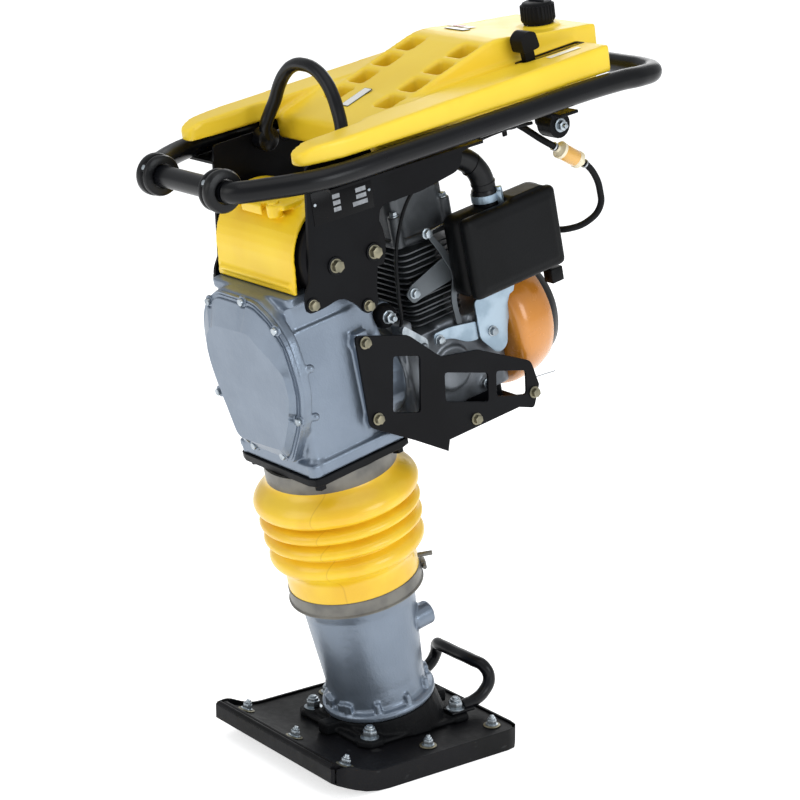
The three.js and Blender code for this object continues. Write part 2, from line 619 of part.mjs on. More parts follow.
add(machine, 'engine_block', 'darkCast', engineBlock());
add(machine, 'cylinder', 'darkCast', cylinder());
add(machine, 'rocker_cover', 'darkCast', box(-46, 46, 152, 250, ENGINE.headZ + GAP, 812, 14));
add(machine, 'engine_crankshaft', 'steel', engineCrank());
add(machine, 'flywheel', 'darkCast', flywheel());
add(machine, 'fan_housing', 'orange', fanHousing());
add(machine, 'recoil_cover', 'black', recoilCover());
add(machine, 'starter_grip', 'black', starterGrip());
add(machine, 'carburettor', 'silver', carburettor());
add(machine, 'choke_lever', 'steel', chokeLever());
add(machine, 'governor_arm', 'steel', governorArm());
add(machine, 'air_box', 'black', airBox());
add(machine, 'air_box_cover', 'black', airBoxCover());
add(machine, 'intake_elbow', 'rubber', intakeElbow());
add(machine, 'muffler', 'darkCast', muffler());
add(machine, 'guard_left', 'black', guard(1));
add(machine, 'guard_right', 'black', guard(-1));
add(machine, 'guard_cross', 'black', join(box(-GUARD.x + GAP, GUARD.x - GAP, 150, 290, 464, 468),
  box(-60, 60, 160, 280, 467, ENGINE.low - GAP)));

// Handle and what it carries, in the handle frame.

function handleTube() {
  const half = byX([[1, 590, -2], [80, 590, -2], [124, 588, -2], [154, 574, -1], [TUBE_X, 540, 2], [TUBE_X, 500, 5],
    [TUBE_X, 300, 4], [TUBE_X, 100, 1], [TUBE_X, 0, 0], [163, -30, 0], [151, -61, 0], [134, -90, 0], [120, -111, 0],
    [107, -124, 0], [95, -128, 0]].reverse());
  const loop = bar(half, TUBE_R, 64, 10);
  return join(loop, drum('x', TUBE_R, -95.5, 95.5, [-128, 0], 10));
}

function roller(side) {
  const { x, width, r, bore } = ROLLER;
  const [low, high] = [side * x - width / 2, side * x + width / 2];
  const rim = drum('x', r, low + 4, high - 4, [-128, 0]);
  const faces = [drum('x', r - 5, low, low + 5, [-128, 0], 20, r), drum('x', r, high - 5, high, [-128, 0], 20, r - 5)];
  return cut(join(rim, ...faces), drum('x', bore, low - 1, high + 1, [-128, 0]));
}

function liftingHook() {
  const path = byX([[96, 68, 0], [93, 64, 16], [86, 70, 36], [76, 75, 54], [64, 78, 76], [48, 80, 94], [26, 81, 107],
    [0, 81, 111]].reverse()).filter((point, i, all) => i === 0 || point[0] !== all[i - 1][0]);
  const bosses = [1, -1].map((side) => drum('x', 17, ...span(side, 90, BRACKET.x - GAP), [66, -2], 16));
  return join(bar(path, 9, 26, 8), ...bosses);
}

function fuelTank() {
  const { side, inner, front, rear, blockRear, blockHalf, bottom } = TANK;
  const railSide = [[front, 17.5, 4], [front, 34, 6], [front + 22, 43, 10], [rear, 60, 6], [rear, 20, 4]];
  const rails = [1, -1].map((s) => slab('x', railSide, ...span(s, inner - 10, side)));
  const shelf = slab('x', [[100, bottom, 6], [100, 24, 10], [180, 47, 10], [rear, 58, 6], [rear, bottom, 6]], -inner, inner);
  const deck = slab('x', [[100, bottom, 6], [100, 22, 10], [345, 94, 24], [432, 82, 20], [blockRear, 73, 8],
    [blockRear, 40, 10], [blockRear - 12, bottom, 8]], -blockHalf, blockHalf);
  const plan = slab('z', [[side, rear, 4], [side, 10, 30], [148, front, 12], [122, front, 12], [inner, 10, 20],
    [inner, 84, 24], [92, 101, 20], [-92, 101, 20], [-inner, 84, 24], [-inner, 10, 20], [-122, front, 12],
    [-148, front, 12], [-side, 10, 30], [-side, rear, 4], [-94, rear, 6], [-blockHalf, blockRear, 10],
    [blockHalf, blockRear, 10], [94, rear, 6]], -60, 150, 3);
  const collar = drum('z', 30, 60, CAP.z - 1, [CAP.x, CAP.y], 28);
  const neck = drum('z', 17, 40, CAP.z + 20, [CAP.x, CAP.y], 20);
  const inside = slab('x', [[350, -8], [350, 80, 10], [432, 76, 10], [530, 68, 8], [530, 42, 8], [520, -8, 8]], -84, 84);
  const windows = [];
  for (const x of [-60, 60]) {
    for (let row = 0; row < 4; row += 1) {
      const middle = 173.5 + 45.5 * row;
      windows.push(box(x - 19, x + 19, middle - 17, middle + 17, -40, 120, 6));
    }
  }
  const slot = box(SLOT.x - SLOT.half, SLOT.x + SLOT.half, SLOT.front, SLOT.rear, -40, 90, 4);
  return cut(join(common(join(...rails, shelf, deck), plan), collar), inside, neck, slot, ...windows);
}

function capSeal() {
  const { x, y, z } = CAP;
  const skirt = drum('z', 16.3, z - 12, z, [x, y], 20);
  const disc = drum('z', 22, z - 1 + GAP, z + 2, [x, y], 20);
  return cut(join(skirt, disc), drum('z', 13.5, z - 20, z + 5, [x, y], 20));
}

function fuelCap() {
  const { x, y, z, r } = CAP;
  const lobes = [];
  for (let i = 0; i < 12; i += 1) {
    const angle = i * Math.PI / 6;
    lobes.push(drum('z', 4, z + 4, z + 30, [x + (r - 2.5) * Math.cos(angle), y + (r - 2.5) * Math.sin(angle)], 6));
  }
  return join(drum('z', r - 1, z + 2 + GAP, z + 32, [x, y], 24, r - 4), ...lobes);
}

/** Upright lever turned back to its rest angle about its pivot. */
function throttleLever() {
  const { y, z, rest } = LEVER;
  const hub = drum('x', 10, SLOT.x - 5.5, SLOT.x + 5.5, [0, 0], 18);
  const shank = slab('x', [[-6, 0], [6, 0], [9, 108], [-9, 108]], SLOT.x - 5, SLOT.x + 5);
  const knobSide = [[-15, 106, 5], [15, 106, 5], [12, 130, 5], [-2, 136, 6], [-16, 128, 6]];
  const knob = slab('x', knobSide, SLOT.x - 13, SLOT.x + 13);
  const lever = cut(join(hub, shank, knob), drum('x', 4.5, SLOT.x - 10, SLOT.x + 10, [0, 0], 14));
  return lever.rotateX(rest).translate(0, y, z);
}

function leverBracket() {
  const { y, z } = LEVER;
  const housing = drum('x', 19, 119, 148, [y, z - 3], 20);
  const flange = box(119, TUBE_X + 4, y - 16, y + 16, -TUBE_R - 5, -TUBE_R - GAP);
  const pin = drum('x', 4, SLOT.x - 10, 121, [y, z], 12);
  return join(housing, flange, pin, box(119, 148, y - 14, y + 14, z, -TUBE_R - 1));
}

const CABLE_ROUTE = [[112, 374, 866], [106, 330, 870], [99, 245, 862], [94, 170, 838], [90, 126, 776], [90, 110, 700],
  [82, 112, 655], [68, 118, 642]];
const COCK = { x: 78, y: 362, z: 884 };

function fuelCock() {
  const { x, y, z } = COCK;
  const body = join(drum('z', 9, z - 26, z + 2.6, [x, y], 14), drum('x', 8, x - 12, x + 12, [y, z - 14], 14));
  return join(body, bar([[x, y, z - 16], [x + 12, y + 10, z - 26]], 4, 1, 10));
}

function cockLever() {
  const { x, y, z } = COCK;
  const hub = drum('x', 7, x - 19, x - 12 - GAP, [y, z - 14], 14);
  return join(hub, box(x - 19, x - 15, y - 4, y + 4, z - 40, z - 14, 2));
}

const UPPER_HOSE = [[90.4, 372.3, 857.8], [98, 378, 850], [109, 389, 836], [117.7, 399.6, 824.7], [118, 405.6, 819.5]];
const FILTER_AXIS = [[118, 406.4, 818.8], [120, 447, 784]];
const LOWER_HOSE = [[120, 447.8, 783.3], [120.3, 453.8, 778.1], [121, 466, 758], [120, 472, 733], [117, 470, 707],
  [108, 452, 690], [92, 426, 684], [70, 404, 687], [52, 384, 690], [38, 352, 691], [31, 330, 690], [30, 314, 690]];

add(handle, 'handle_tube', 'black', handleTube());
add(handle, 'roller_left', 'black', roller(1));
add(handle, 'roller_right', 'black', roller(-1));
add(handle, 'lifting_hook', 'black', liftingHook());
add(handle, 'fuel_tank', 'yellow', fuelTank());
add(handle, 'cap_seal', 'rubber', capSeal());
add(handle, 'fuel_cap', 'black', fuelCap());
add(handle, 'throttle_lever', 'black', throttleLever());
add(handle, 'lever_bracket', 'black', leverBracket());
add(machine, 'throttle_cable', 'rubber', bar(CABLE_ROUTE, 2.5, 28, 8));
add(machine, 'fuel_cock', 'steel', fuelCock());
add(machine, 'cock_lever', 'black', cockLever());
add(machine, 'upper_fuel_hose', 'rubber', bar(UPPER_HOSE, 5.5, 5, 8));
add(machine, 'fuel_filter', 'clear', bar(FILTER_AXIS, FILTER_R, 2, 16));
add(machine, 'lower_fuel_hose', 'rubber', bar(LOWER_HOSE, 5.5, 20, 8));

export default rammer;
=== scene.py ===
"""Looks of a jumping jack rammer, put together from its foot up to its handle."""

import math

import bmesh
import bpy
from mathutils import Matrix, Vector


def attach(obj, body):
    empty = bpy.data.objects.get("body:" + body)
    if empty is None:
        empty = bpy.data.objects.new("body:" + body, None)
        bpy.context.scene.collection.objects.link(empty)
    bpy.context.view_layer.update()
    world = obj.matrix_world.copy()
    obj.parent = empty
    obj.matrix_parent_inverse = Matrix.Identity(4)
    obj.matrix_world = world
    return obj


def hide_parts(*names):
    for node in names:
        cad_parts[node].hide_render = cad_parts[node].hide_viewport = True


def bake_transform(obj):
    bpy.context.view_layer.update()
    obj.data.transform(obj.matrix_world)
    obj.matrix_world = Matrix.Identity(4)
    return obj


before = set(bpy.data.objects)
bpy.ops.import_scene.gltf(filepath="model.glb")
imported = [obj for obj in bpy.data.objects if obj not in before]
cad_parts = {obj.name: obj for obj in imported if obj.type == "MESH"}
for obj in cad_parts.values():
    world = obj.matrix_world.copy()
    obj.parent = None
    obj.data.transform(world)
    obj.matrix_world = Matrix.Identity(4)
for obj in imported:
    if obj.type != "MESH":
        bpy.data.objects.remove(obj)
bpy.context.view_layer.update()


# Studio: a pale floor with soft lights overhead and at both sides,
# and a long lens that looks down a little at the front left corner.
# None of it belongs to the machine.
def sheet_light(name, place, target, size, power, colour=(1, 1, 1)):
    """A soft square lamp that faces a target."""
    lamp = bpy.data.lights.new(name, "AREA")
    lamp.shape, lamp.size, lamp.energy, lamp.color = "SQUARE", size, power, colour
    holder = bpy.data.objects.new(name, lamp)
    bpy.context.scene.collection.objects.link(holder)
    holder.location = place
    holder.rotation_euler = (Vector(target) - Vector(place)).to_track_quat("-Z", "Y").to_euler()


chest = (0, 0, 0.6)
sheet_light("overhead_light", (0.6, -0.4, 3.4), chest, 2.6, 19)
sheet_light("front_light", (-0.6, -3.2, 1.9), chest, 2.0, 22, (1.0, 0.99, 0.97))
sheet_light("side_light", (3.4, 0.6, 1.5), chest, 1.5, 34, (0.93, 0.97, 1.0))
sheet_light("back_light", (-2.4, 2.8, 2.2), chest, 2.0, 24)

studio_air = bpy.data.worlds.new("studio_air")
bpy.context.scene.world = studio_air
studio_air.use_nodes = True
studio_air.node_tree.nodes["Background"].inputs["Color"].default_value = (0.96, 0.98, 1.0, 1)
studio_air.node_tree.nodes["Background"].inputs["Strength"].default_value = 0.62

floor_mesh = bpy.data.meshes.new("studio_floor")
floor_form = bmesh.new()
bmesh.ops.create_circle(floor_form, cap_ends=True, segments=64, radius=30)
floor_form.to_mesh(floor_mesh)
floor_form.free()
studio_floor = bpy.data.objects.new("studio_floor", floor_mesh)
bpy.context.scene.collection.objects.link(studio_floor)
floor_finish = bpy.data.materials.new("studio_floor")
floor_finish.use_nodes = True
floor_shader = floor_finish.node_tree.nodes["Principled BSDF"]
floor_shader.inputs["Base Color"].default_value = (0.93, 0.93, 0.93, 1)
floor_shader.inputs["Roughness"].default_value = 0.7
floor_shader.inputs["Emission Color"].default_value = (1, 1, 1, 1)
floor_shader.inputs["Emission Strength"].default_value = 0.62
floor_mesh.materials.append(floor_finish)

turn, dip = math.radians(52.905), math.radians(15.179)
forward = Vector((-math.sin(turn) * math.cos(dip), math.cos(turn) * math.cos(dip), -math.sin(dip)))
lens = bpy.data.cameras.new("camera")
lens.lens, lens.sensor_width = 104.36, 36
camera = bpy.data.objects.new("camera", lens)
bpy.context.scene.collection.objects.link(camera)
camera.location = (2.6135, -1.9311, 1.4091)
camera.rotation_euler = forward.to_track_quat("-Z", "Y").to_euler()
bpy.context.scene.camera = camera
bpy.context.scene.view_settings.view_transform = "Standard"


# Fuel hoses: two lengths of 10 mm black rubber hose, from the tank's tap to the filter
# and on round the back of the air box to the carburettor, pushed on at every end.
# Sizes are in millimetres in each part's own frame; a piece is made full size at the end.
LEAN = math.radians(12.742)
HANDLE_TILT = math.radians(-3.55)
shift = Matrix.Translation
FLOOR = Matrix.Identity(4)
MACHINE = shift((0, 0.02117, 0)) @ Matrix.Rotation(LEAN, 4, "X")
HANDLE = MACHINE @ shift((0, 0, 0.922)) @ Matrix.Rotation(HANDLE_TILT, 4, "X")
MILLIMETRES = Matrix.Scale(0.001, 4)


def tint(code):
    """Colour of a paint chip, from its hex code, as the shader takes it."""
    parts = [(code >> shift & 255) / 255 for shift in (16, 8, 0)]
    return tuple(p / 12.92 if p <= 0.04045 else ((p + 0.055) / 1.055) ** 2.4 for p in parts) + (1,)


class Signal:
    """An output of a shader node, which can be used in a sum."""

    def __init__(self, finish, socket):
        self.finish, self.socket = finish, socket

    def sum(self, operation, first, second):
        return self.finish.node("ShaderNodeMath", {"operation": operation}, {0: first, 1: second})

    def __add__(self, other):
        return self.sum("ADD", self, other)

    def __sub__(self, other):
        return self.sum("SUBTRACT", self, other)

    def __rsub__(self, other):
        return self.sum("SUBTRACT", other, self)

    def __mul__(self, other):
        return self.sum("MULTIPLY", self, other)

    def step(self, low, high):
        """0 below low and 1 above high, smooth in between."""
        values = {"Value": self, "From Min": low, "From Max": high}
        return self.finish.node("ShaderNodeMapRange", {"interpolation_type": "SMOOTHSTEP"}, values)


class Finish:
    """A finish: two near tones that drift over the piece, a varying gloss and a fine grain."""

    def __init__(self, name, tone, other, gloss, metallic=0.0, grain=0.1, grain_size=900, drift=9, coat=0.0,
                 sheen_level=0.5):
        self.material = bpy.data.materials.new(name)
        self.material.use_nodes = True
        self.tree = self.material.node_tree
        self.shader = self.tree.nodes["Principled BSDF"]
        self.shader.inputs["Metallic"].default_value = metallic
        self.shader.inputs["Coat Weight"].default_value = coat
        self.shader.inputs["Specular IOR Level"].default_value = sheen_level
        self.shader.inputs["Coat Roughness"].default_value = 0.12
        self.place = self.node("ShaderNodeTexCoord", output="Object")
        self.clouds = self.noise(drift, 3)
        self.colour = self.mix(self.clouds.step(0.35, 0.65), tint(tone), tint(other))
        self.gloss = self.noise(drift * 7, 2) * (gloss[1] - gloss[0]) + gloss[0]
        self.relief = self.noise(grain_size, 2) * grain
        self.done()

    def node(self, kind, settings=None, values=None, output=0):
        """One node, with its settings first, then the values or links of its sockets."""
        made = self.tree.nodes.new(kind)
        for key, value in (settings or {}).items():
            setattr(made, key, value)
        for key, value in (values or {}).items():
            if isinstance(value, Signal):
                self.tree.links.new(value.socket, made.inputs[key])
            else:
                made.inputs[key].default_value = value
        return Signal(self, made.outputs[output])

    def noise(self, scale, detail, stretch=None):
        """Soft noise over the piece; stretch is a scale for each axis."""
        place = self.place
        if stretch:
            place = self.node("ShaderNodeMapping", None, {"Vector": place, "Scale": stretch})
        values = {"Vector": place, "Scale": scale, "Detail": detail}
        return self.node("ShaderNodeTexNoise", None, values, "Fac")

    def mix(self, share, first, second):
        values = {"Factor": share, 6: first, 7: second}
        return self.node("ShaderNodeMix", {"data_type": "RGBA"}, values, 2)

    def axis(self, name):
        return self.node("ShaderNodeSeparateXYZ", None, {0: self.place}, name)

    def stain(self, share, colour, gloss=None):
        """Lays another colour over the finish where share is 1."""
        self.colour = self.mix(share, self.colour, colour)
        if gloss is not None:
            self.gloss = self.gloss * (1 - share) + share * gloss
        return self

    def done(self):
        """Joins colour, gloss and relief to the shader."""
        bump = self.node("ShaderNodeBump", None, {"Height": self.relief, "Distance": 0.001, "Strength": 0.6}, "Normal")
        for key, value in (("Base Color", self.colour), ("Roughness", self.gloss), ("Normal", bump)):
            self.tree.links.new(value.socket, self.shader.inputs[key])
        return self


def piece(name, form, body, finish, place=MACHINE, edge=0, stands_for=(), angle=35, turn_out=True):
    """Makes a finished piece from a form in millimetres: sharp edges can be eased, and it rides on its body."""
    bmesh.ops.remove_doubles(form, verts=form.verts, dist=0.01)
    if turn_out:
        bmesh.ops.recalc_face_normals(form, faces=form.faces)
    bmesh.ops.transform(form, matrix=place @ MILLIMETRES, verts=form.verts)
    mesh = bpy.data.meshes.new(name)
    form.to_mesh(mesh)
    form.free()
    mesh.shade_smooth()
    mesh.set_sharp_from_angle(angle=math.radians(angle))
    made = bpy.data.objects.new(name, mesh)
    bpy.context.scene.collection.objects.link(made)
    mesh.materials.append(finish.material)
    if edge:
        ease = made.modifiers.new("eased edges", "BEVEL")
        ease.width, ease.segments, ease.limit_method = edge * 0.001, 3, "ANGLE"
        ease.angle_limit, ease.harden_normals = math.radians(angle), True
    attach(made, body)
    if stands_for:
        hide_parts(*stands_for)
    return made


def route(name, points, radius, place=MACHINE, steps=8, sides=5):
    """A round bar or hose on a smooth line through points, in millimetres."""
    curve = bpy.data.curves.new(name, "CURVE")
    curve.dimensions, curve.resolution_u, curve.use_fill_caps = "3D", steps, True
    curve.bevel_depth, curve.bevel_resolution = radius * 0.001, sides
    line = curve.splines.new("BEZIER")
    line.bezier_points.add(len(points) - 1)
    for knot, point in zip(line.bezier_points, points):
        knot.co = place @ MILLIMETRES @ Vector(point)
        knot.handle_left_type = knot.handle_right_type = "AUTO"
    made = bpy.data.objects.new(name, curve)
    bpy.context.scene.collection.objects.link(made)
    return made


hose_rubber = Finish("hose_rubber", 0x0D0E10, 0x121315, (0.42, 0.58), grain=0.15, sheen_level=0.12)
upper_hose_points = [[86.4, 369.3, 861.3], [90.4, 372.3, 857.8], [98, 378, 850], [109, 389, 836], [117.7, 399.6, 824.7],
                     [118, 405.6, 819.5], [118.1, 408.6, 816.9]]
lower_hose_points = [[119.9, 445, 785.7], [120, 447.8, 783.3], [120.3, 453.8, 778.1], [121, 466, 758], [120, 472, 733],
                     [117, 470, 707], [108, 452, 690], [92, 426, 684], [70, 404, 687], [52, 384, 690], [38, 352, 691],
                     [31, 330, 690], [30, 314, 690]]
hose_radius = 5
upper_hose = route("fuel_hose_upper", upper_hose_points, hose_radius)
lower_hose = route("fuel_hose_lower", lower_hose_points, hose_radius)
for hose, node in ((upper_hose, "upper_fuel_hose"), (lower_hose, "lower_fuel_hose")):
    hose.data.materials.append(hose_rubber.material)
    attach(hose, "machine")
    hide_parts(node)


# Fuel filter: a glossy amber plastic cup between two milky end caps, with a nipple
# at each end that a hose is pushed onto, and a thin steel clip round each hose end.
def facing(direction, at=(0, 0, 0)):
    """Seat whose own z axis points along a direction."""
    return shift(at) @ Vector(direction).to_track_quat("Z", "Y").to_matrix().to_4x4()


def lathe(form, profile, steps=48, seat=FLOOR):
    """Turns a profile of [radius, height] points round the seat's z axis."""
    before = set(form.verts)
    corners = [form.verts.new((r, 0, z)) for r, z in profile]
    edges = [form.edges.new(pair) for pair in zip(corners, corners[1:])]
    bmesh.ops.spin(form, geom=corners + edges, cent=(0, 0, 0), axis=(0, 0, 1), angle=2 * math.pi, steps=steps,
                   use_merge=True)
    made = [v for v in form.verts if v not in before]
    bmesh.ops.remove_doubles(form, verts=made, dist=0.01)
    made = [v for v in form.verts if v not in before]
    bmesh.ops.transform(form, matrix=seat, verts=made)
    return made


filter_low, filter_high = Vector((118, 406.4, 818.8)), Vector((120, 447, 784))
filter_seat = facing(filter_high - filter_low, filter_low)
filter_amber = Finish("filter_cup", 0xD9A64E, 0xC98F3A, (0.12, 0.2), grain=0.02, coat=0.6)
cup = bmesh.new()
lathe(cup, [[0, 9], [11.5, 9], [12.3, 12], [12.3, 38], [11, 42], [0, 42]], seat=filter_seat)
filter_cup = piece("fuel_filter_cup", cup, "machine", filter_amber, stands_for=["fuel_filter"])
filter_milk = Finish("filter_caps", 0xE6DCC0, 0xD8CCA8, (0.3, 0.42), grain=0.03, coat=0.2)
ends = bmesh.new()
lathe(ends, [[0, -1], [5.4, -1], [5.8, 3], [9, 5], [13, 6], [13, 11], [11, 12], [0, 12]], seat=filter_seat)
lathe(ends, [[0, 39], [12, 39], [13, 41], [13, 46], [9, 48.5], [5.8, 50], [5.4, 54.3], [0, 54.3]], seat=filter_seat)
filter_caps = piece("fuel_filter_caps", ends, "machine", filter_milk)
bright_wire = Finish("bright_wire", 0xB9BDC0, 0x9EA3A8, (0.2, 0.35), 0.9, grain=0.05)
clip_line = bmesh.new()
lathe(clip_line, [[5.2, -7], [6.6, -7], [6.6, -4.6], [5.2, -4.6], [5.2, -7]], seat=filter_seat)
lathe(clip_line, [[5.2, 58], [6.6, 58], [6.6, 60.4], [5.2, 60.4], [5.2, 58]], seat=filter_seat)
filter_clips = piece("hose_clips", clip_line, "machine", bright_wire)

MACHINE @ MILLIMETRES @ Vector(upper_hose_points[0])
MACHINE @ MILLIMETRES @ Vector(lower_hose_points[0])


# Foot shoe: a folded steel pan with a thin rim round a laminated core, painted black,
# its front lip rolled over. Seven small flanged nuts clamp pan and core together.
def copy_of(node, place=MACHINE):
    """A CAD node's shape in millimetres, with its loose triangles joined up again."""
    form = bmesh.new()
    form.from_mesh(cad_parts[node].data)
    bmesh.ops.transform(form, matrix=(place @ MILLIMETRES).inverted(), verts=form.verts)
    bmesh.ops.remove_doubles(form, verts=form.verts, dist=0.01)
    bmesh.ops.dissolve_limit(form, angle_limit=math.radians(1), verts=form.verts, edges=form.edges)
    return form


def eased(name, node, body, finish, edge=1.0, place=MACHINE, extra=None, angle=35):
    """A CAD node's shape with its sharp edges rounded, and anything extra that is welded to it."""
    form = copy_of(node, place)
    if extra:
        extra(form)
    return piece(name, form, body, finish, place, edge, [node], angle, turn_out=False)


def rod(form, seat, radius, low, high, sides=24, top=None, ease=0.0):
    """A round or many-sided bar along a seat's z axis, with eased rims."""
    middle = seat @ shift((0, 0, (low + high) / 2))
    top = radius if top is None else top
    made = bmesh.ops.create_cone(form, cap_ends=True, segments=sides, radius1=radius, radius2=top, depth=high - low,
                                 matrix=middle)["verts"]
    if ease:
        rims = {e for v in made for e in v.link_edges if any(len(f.verts) == sides for f in e.link_faces)}
        bmesh.ops.bevel(form, geom=list(rims), offset=ease, segments=2, profile=0.5, affect="EDGES", material=-1)


def block(form, low, high, ease=0.0, segments=2):
    """A box between two corners, its edges eased."""
    size = Vector(high) - Vector(low)
    middle = shift((Vector(high) + Vector(low)) / 2) @ Matrix.Diagonal((*size, 1))
    made = bmesh.ops.create_cube(form, size=1, matrix=middle)["verts"]
    if ease:
        edges = {e for v in made for e in v.link_edges}
        bmesh.ops.bevel(form, geom=list(edges), offset=ease, segments=segments, profile=0.5, affect="EDGES",
                        material=-1)


def weld_on(form, other, seat=FLOOR):
    """Adds one form to another, set on a seat."""
    bmesh.ops.transform(other, matrix=seat, verts=other.verts)
    held = bpy.data.meshes.new("held")
    other.to_mesh(held)
    other.free()
    form.from_mesh(held)
    bpy.data.meshes.remove(held)


def hex_nut(form, at, out, across, washer=0.0, stud=0.0, collar=False):
    """A hexagon nut or bolt head on its washer; a stud or a locking collar may stand proud of it."""
    seat = facing(out, at)
    if washer:
        rod(form, seat, washer, 0, 1.8, 28, ease=0.4)
    rod(form, seat, across * 0.577, 1.5, 1.5 + across * 0.55, 6, ease=across * 0.06)
    if collar:
        rod(form, seat, across * 0.42, 1.5 + across * 0.5, 1.5 + across * 0.78, 20, ease=across * 0.06)
    if stud:
        rod(form, seat, across * 0.27, 1.5, stud, 16, ease=0.7)


shoe_black = Finish("shoe_black", 0x08090A, 0x101013, (0.38, 0.6), grain=0.35, grain_size=420, sheen_level=0.12)
scuffs = shoe_black.noise(38, 6, (1, 1, 2.5)).step(0.62, 0.72) * 0.45
shoe_black.stain(scuffs, tint(0x3A3B3C), 0.62).done()
eased("shoe_pan", "sole_plate", "foot", shoe_black, 1.2, FLOOR)
eased("shoe_core_board", "shoe_core", "foot", shoe_black, 1.5, FLOOR)

lip = bmesh.new()
for y, z, radius, half in ((-176, 47.5, 6.5, 147), (-186.5, 49, 3.2, 150)):
    rod(lip, facing((1, 0, 0), (0, y, z)), radius, -half, half, 20, ease=2)
piece("shoe_lip_roll", lip, "foot", shoe_black, FLOOR)

zinc = Finish("zinc_plate", 0xB4BCC2, 0x8E979E, (0.22, 0.4), 0.85, grain=0.08, drift=60)
passivated = Finish("yellow_zinc", 0x8E8872, 0x706D5C, (0.3, 0.5), 0.7, grain=0.1, drift=50)
shoe_nuts, shoe_washers = bmesh.new(), bmesh.new()
ramp = (0, 0.31, 0.95)
for at, out in [((x, -150, 39.5), ramp) for x in (-127, 0, 127)] + [
        ((side * x, y, 30.5), (0, 0, 1)) for side in (1, -1) for x, y in ((128, 0), (126, 122))]:
    rod(shoe_washers, facing(out, at), 13, 0, 1.5, 28, ease=0.5)
    hex_nut(shoe_nuts, Vector(at) + Vector(out) * 1.2, out, 13, washer=9.5, stud=15, collar=True)
piece("shoe_nuts", shoe_nuts, "foot", zinc, FLOOR)
piece("shoe_washers", shoe_washers, "foot", passivated, FLOOR)


# Foot casting: a black iron adapter whose collar slopes up to the leaning leg,
# held by four studs with flange nuts. The bent-bar handle is caught under the rear two.
def cast(form, grid=2.2, rounds=5):
    """One skin over all the solids of a form, with the soft corners of a casting."""
    mesh = bpy.data.meshes.new("mould")
    form.to_mesh(mesh)
    form.free()
    mould = bpy.data.objects.new("mould", mesh)
    bpy.context.scene.collection.objects.link(mould)
    skin = mould.modifiers.new("skin", "REMESH")
    skin.mode, skin.voxel_size = "VOXEL", grid
    soft = mould.modifiers.new("soft corners", "SMOOTH")
    soft.factor, soft.iterations = 0.5, rounds
    made = bpy.data.meshes.new_from_object(mould.evaluated_get(bpy.context.evaluated_depsgraph_get()))
    form = bmesh.new()
    form.from_mesh(made)
    bpy.data.objects.remove(mould)
    bpy.data.meshes.remove(made)
    return form


foot_iron = Finish("foot_iron", 0x09090B, 0x111214, (0.42, 0.66), grain=0.9, grain_size=330, sheen_level=0.12)
adapter = copy_of("foot_flange", FLOOR)
stud_places = [(side * 72, y) for side in (1, -1) for y in (-65, 95)]
for x, y in stud_places:
    rod(adapter, shift((x, y, 0)), 23, 31, 41, 6, top=21)
    block(adapter, (min(x, x * 0.4), y - 5, 31), (max(x, x * 0.4), y + 5, 44))
piece("foot_adapter", cast(adapter, 2.0, 4), "foot", foot_iron, FLOOR, stands_for=["foot_flange"],
      angle=80)

foot_nuts = bmesh.new()
for x, y in stud_places:
    height = 46.3 if y > 0 else 41
    hex_nut(foot_nuts, (x, y, height), (0, 0, 1), 19, washer=14, stud=19, collar=True)
piece("foot_nuts", foot_nuts, "foot", zinc, FLOOR)

grip_black = Finish("grip_black", 0x06070A, 0x0C0D11, (0.24, 0.34), grain=0.08, grain_size=260, sheen_level=0.24)


def tube_piece(name, points, radius, body, finish, stands_for=(), place=MACHINE, extra=None, sides=6, steps=10):
    """A bent bar as a mesh, with anything extra that is welded to it."""
    guide = route(name + "_guide", points, radius, place, steps, sides)
    bpy.context.view_layer.update()
    made = bpy.data.meshes.new_from_object(guide.evaluated_get(bpy.context.evaluated_depsgraph_get()))
    form = bmesh.new()
    form.from_mesh(made)
    bpy.data.objects.remove(guide)
    bmesh.ops.transform(form, matrix=(place @ MILLIMETRES).inverted(), verts=form.verts)
    if extra:
        extra(form)
    return piece(name, form, body, finish, place, stands_for=stands_for, angle=50)


def both_sides(points):
    """A route from the right side to the left, from its left half that ends at the middle."""
    return [(-x, y, z) for x, y, z in points] + [(x, y, z) for x, y, z in reversed(points) if x]


def handle_tabs(form):
    """Flattened ends of the foot handle, drilled for the rear studs."""
    for x in (-72, 72):
        block(form, (x - 13, 80, 41.2), (x + 13, 124, 46.2), 2)


foot_grip_points = both_sides([(71, 108, 47), (70, 134, 50), (68, 154, 59), (66, 165, 76), (58, 161, 94),
                               (40, 154, 100), (0, 153, 100.5)])
tube_piece("foot_grip", foot_grip_points, 9.5, "foot", grip_black, ["foot_handle"], FLOOR, handle_tabs)


# Leg: an aluminium spring cylinder that tapers down to a ring on the foot, painted silver,
# with lugs above the ring and a round boss for the oil plug at its back.
silver = Finish("silver_casting", 0x7C8795, 0x76818F, (0.26, 0.4), 0.68, grain=0.4, grain_size=380, drift=14)
silver.relief = silver.relief + silver.noise(90, 3) * 0.6
silver.done()
leg = bmesh.new()
lathe(leg, [[0, 70.6], [83.5, 70.6], [85.5, 72], [85.5, 79], [82.5, 81.5], [75.5, 83], [73.5, 88], [73.8, 112],
            [84, 236], [86.5, 246], [88, 252], [88, 262], [0, 262]], 72)
for turn in range(0, 360, 36):
    around = Matrix.Rotation(math.radians(turn - 36), 4, "Z") @ shift((77, 0, 0))
    rod(leg, around, 6.5, 74, 98, 12, top=4.5)
for turn in (-75, -105, 105, 75):
    around = Matrix.Rotation(math.radians(turn), 4, "Z")
    lug = around @ shift((76, 0, 86)) @ Matrix.Diagonal((9, 26, 20, 1))
    bmesh.ops.create_cube(leg, size=1, matrix=lug)
oil_seat = facing((0, 1, 0), (50, 0, 190))
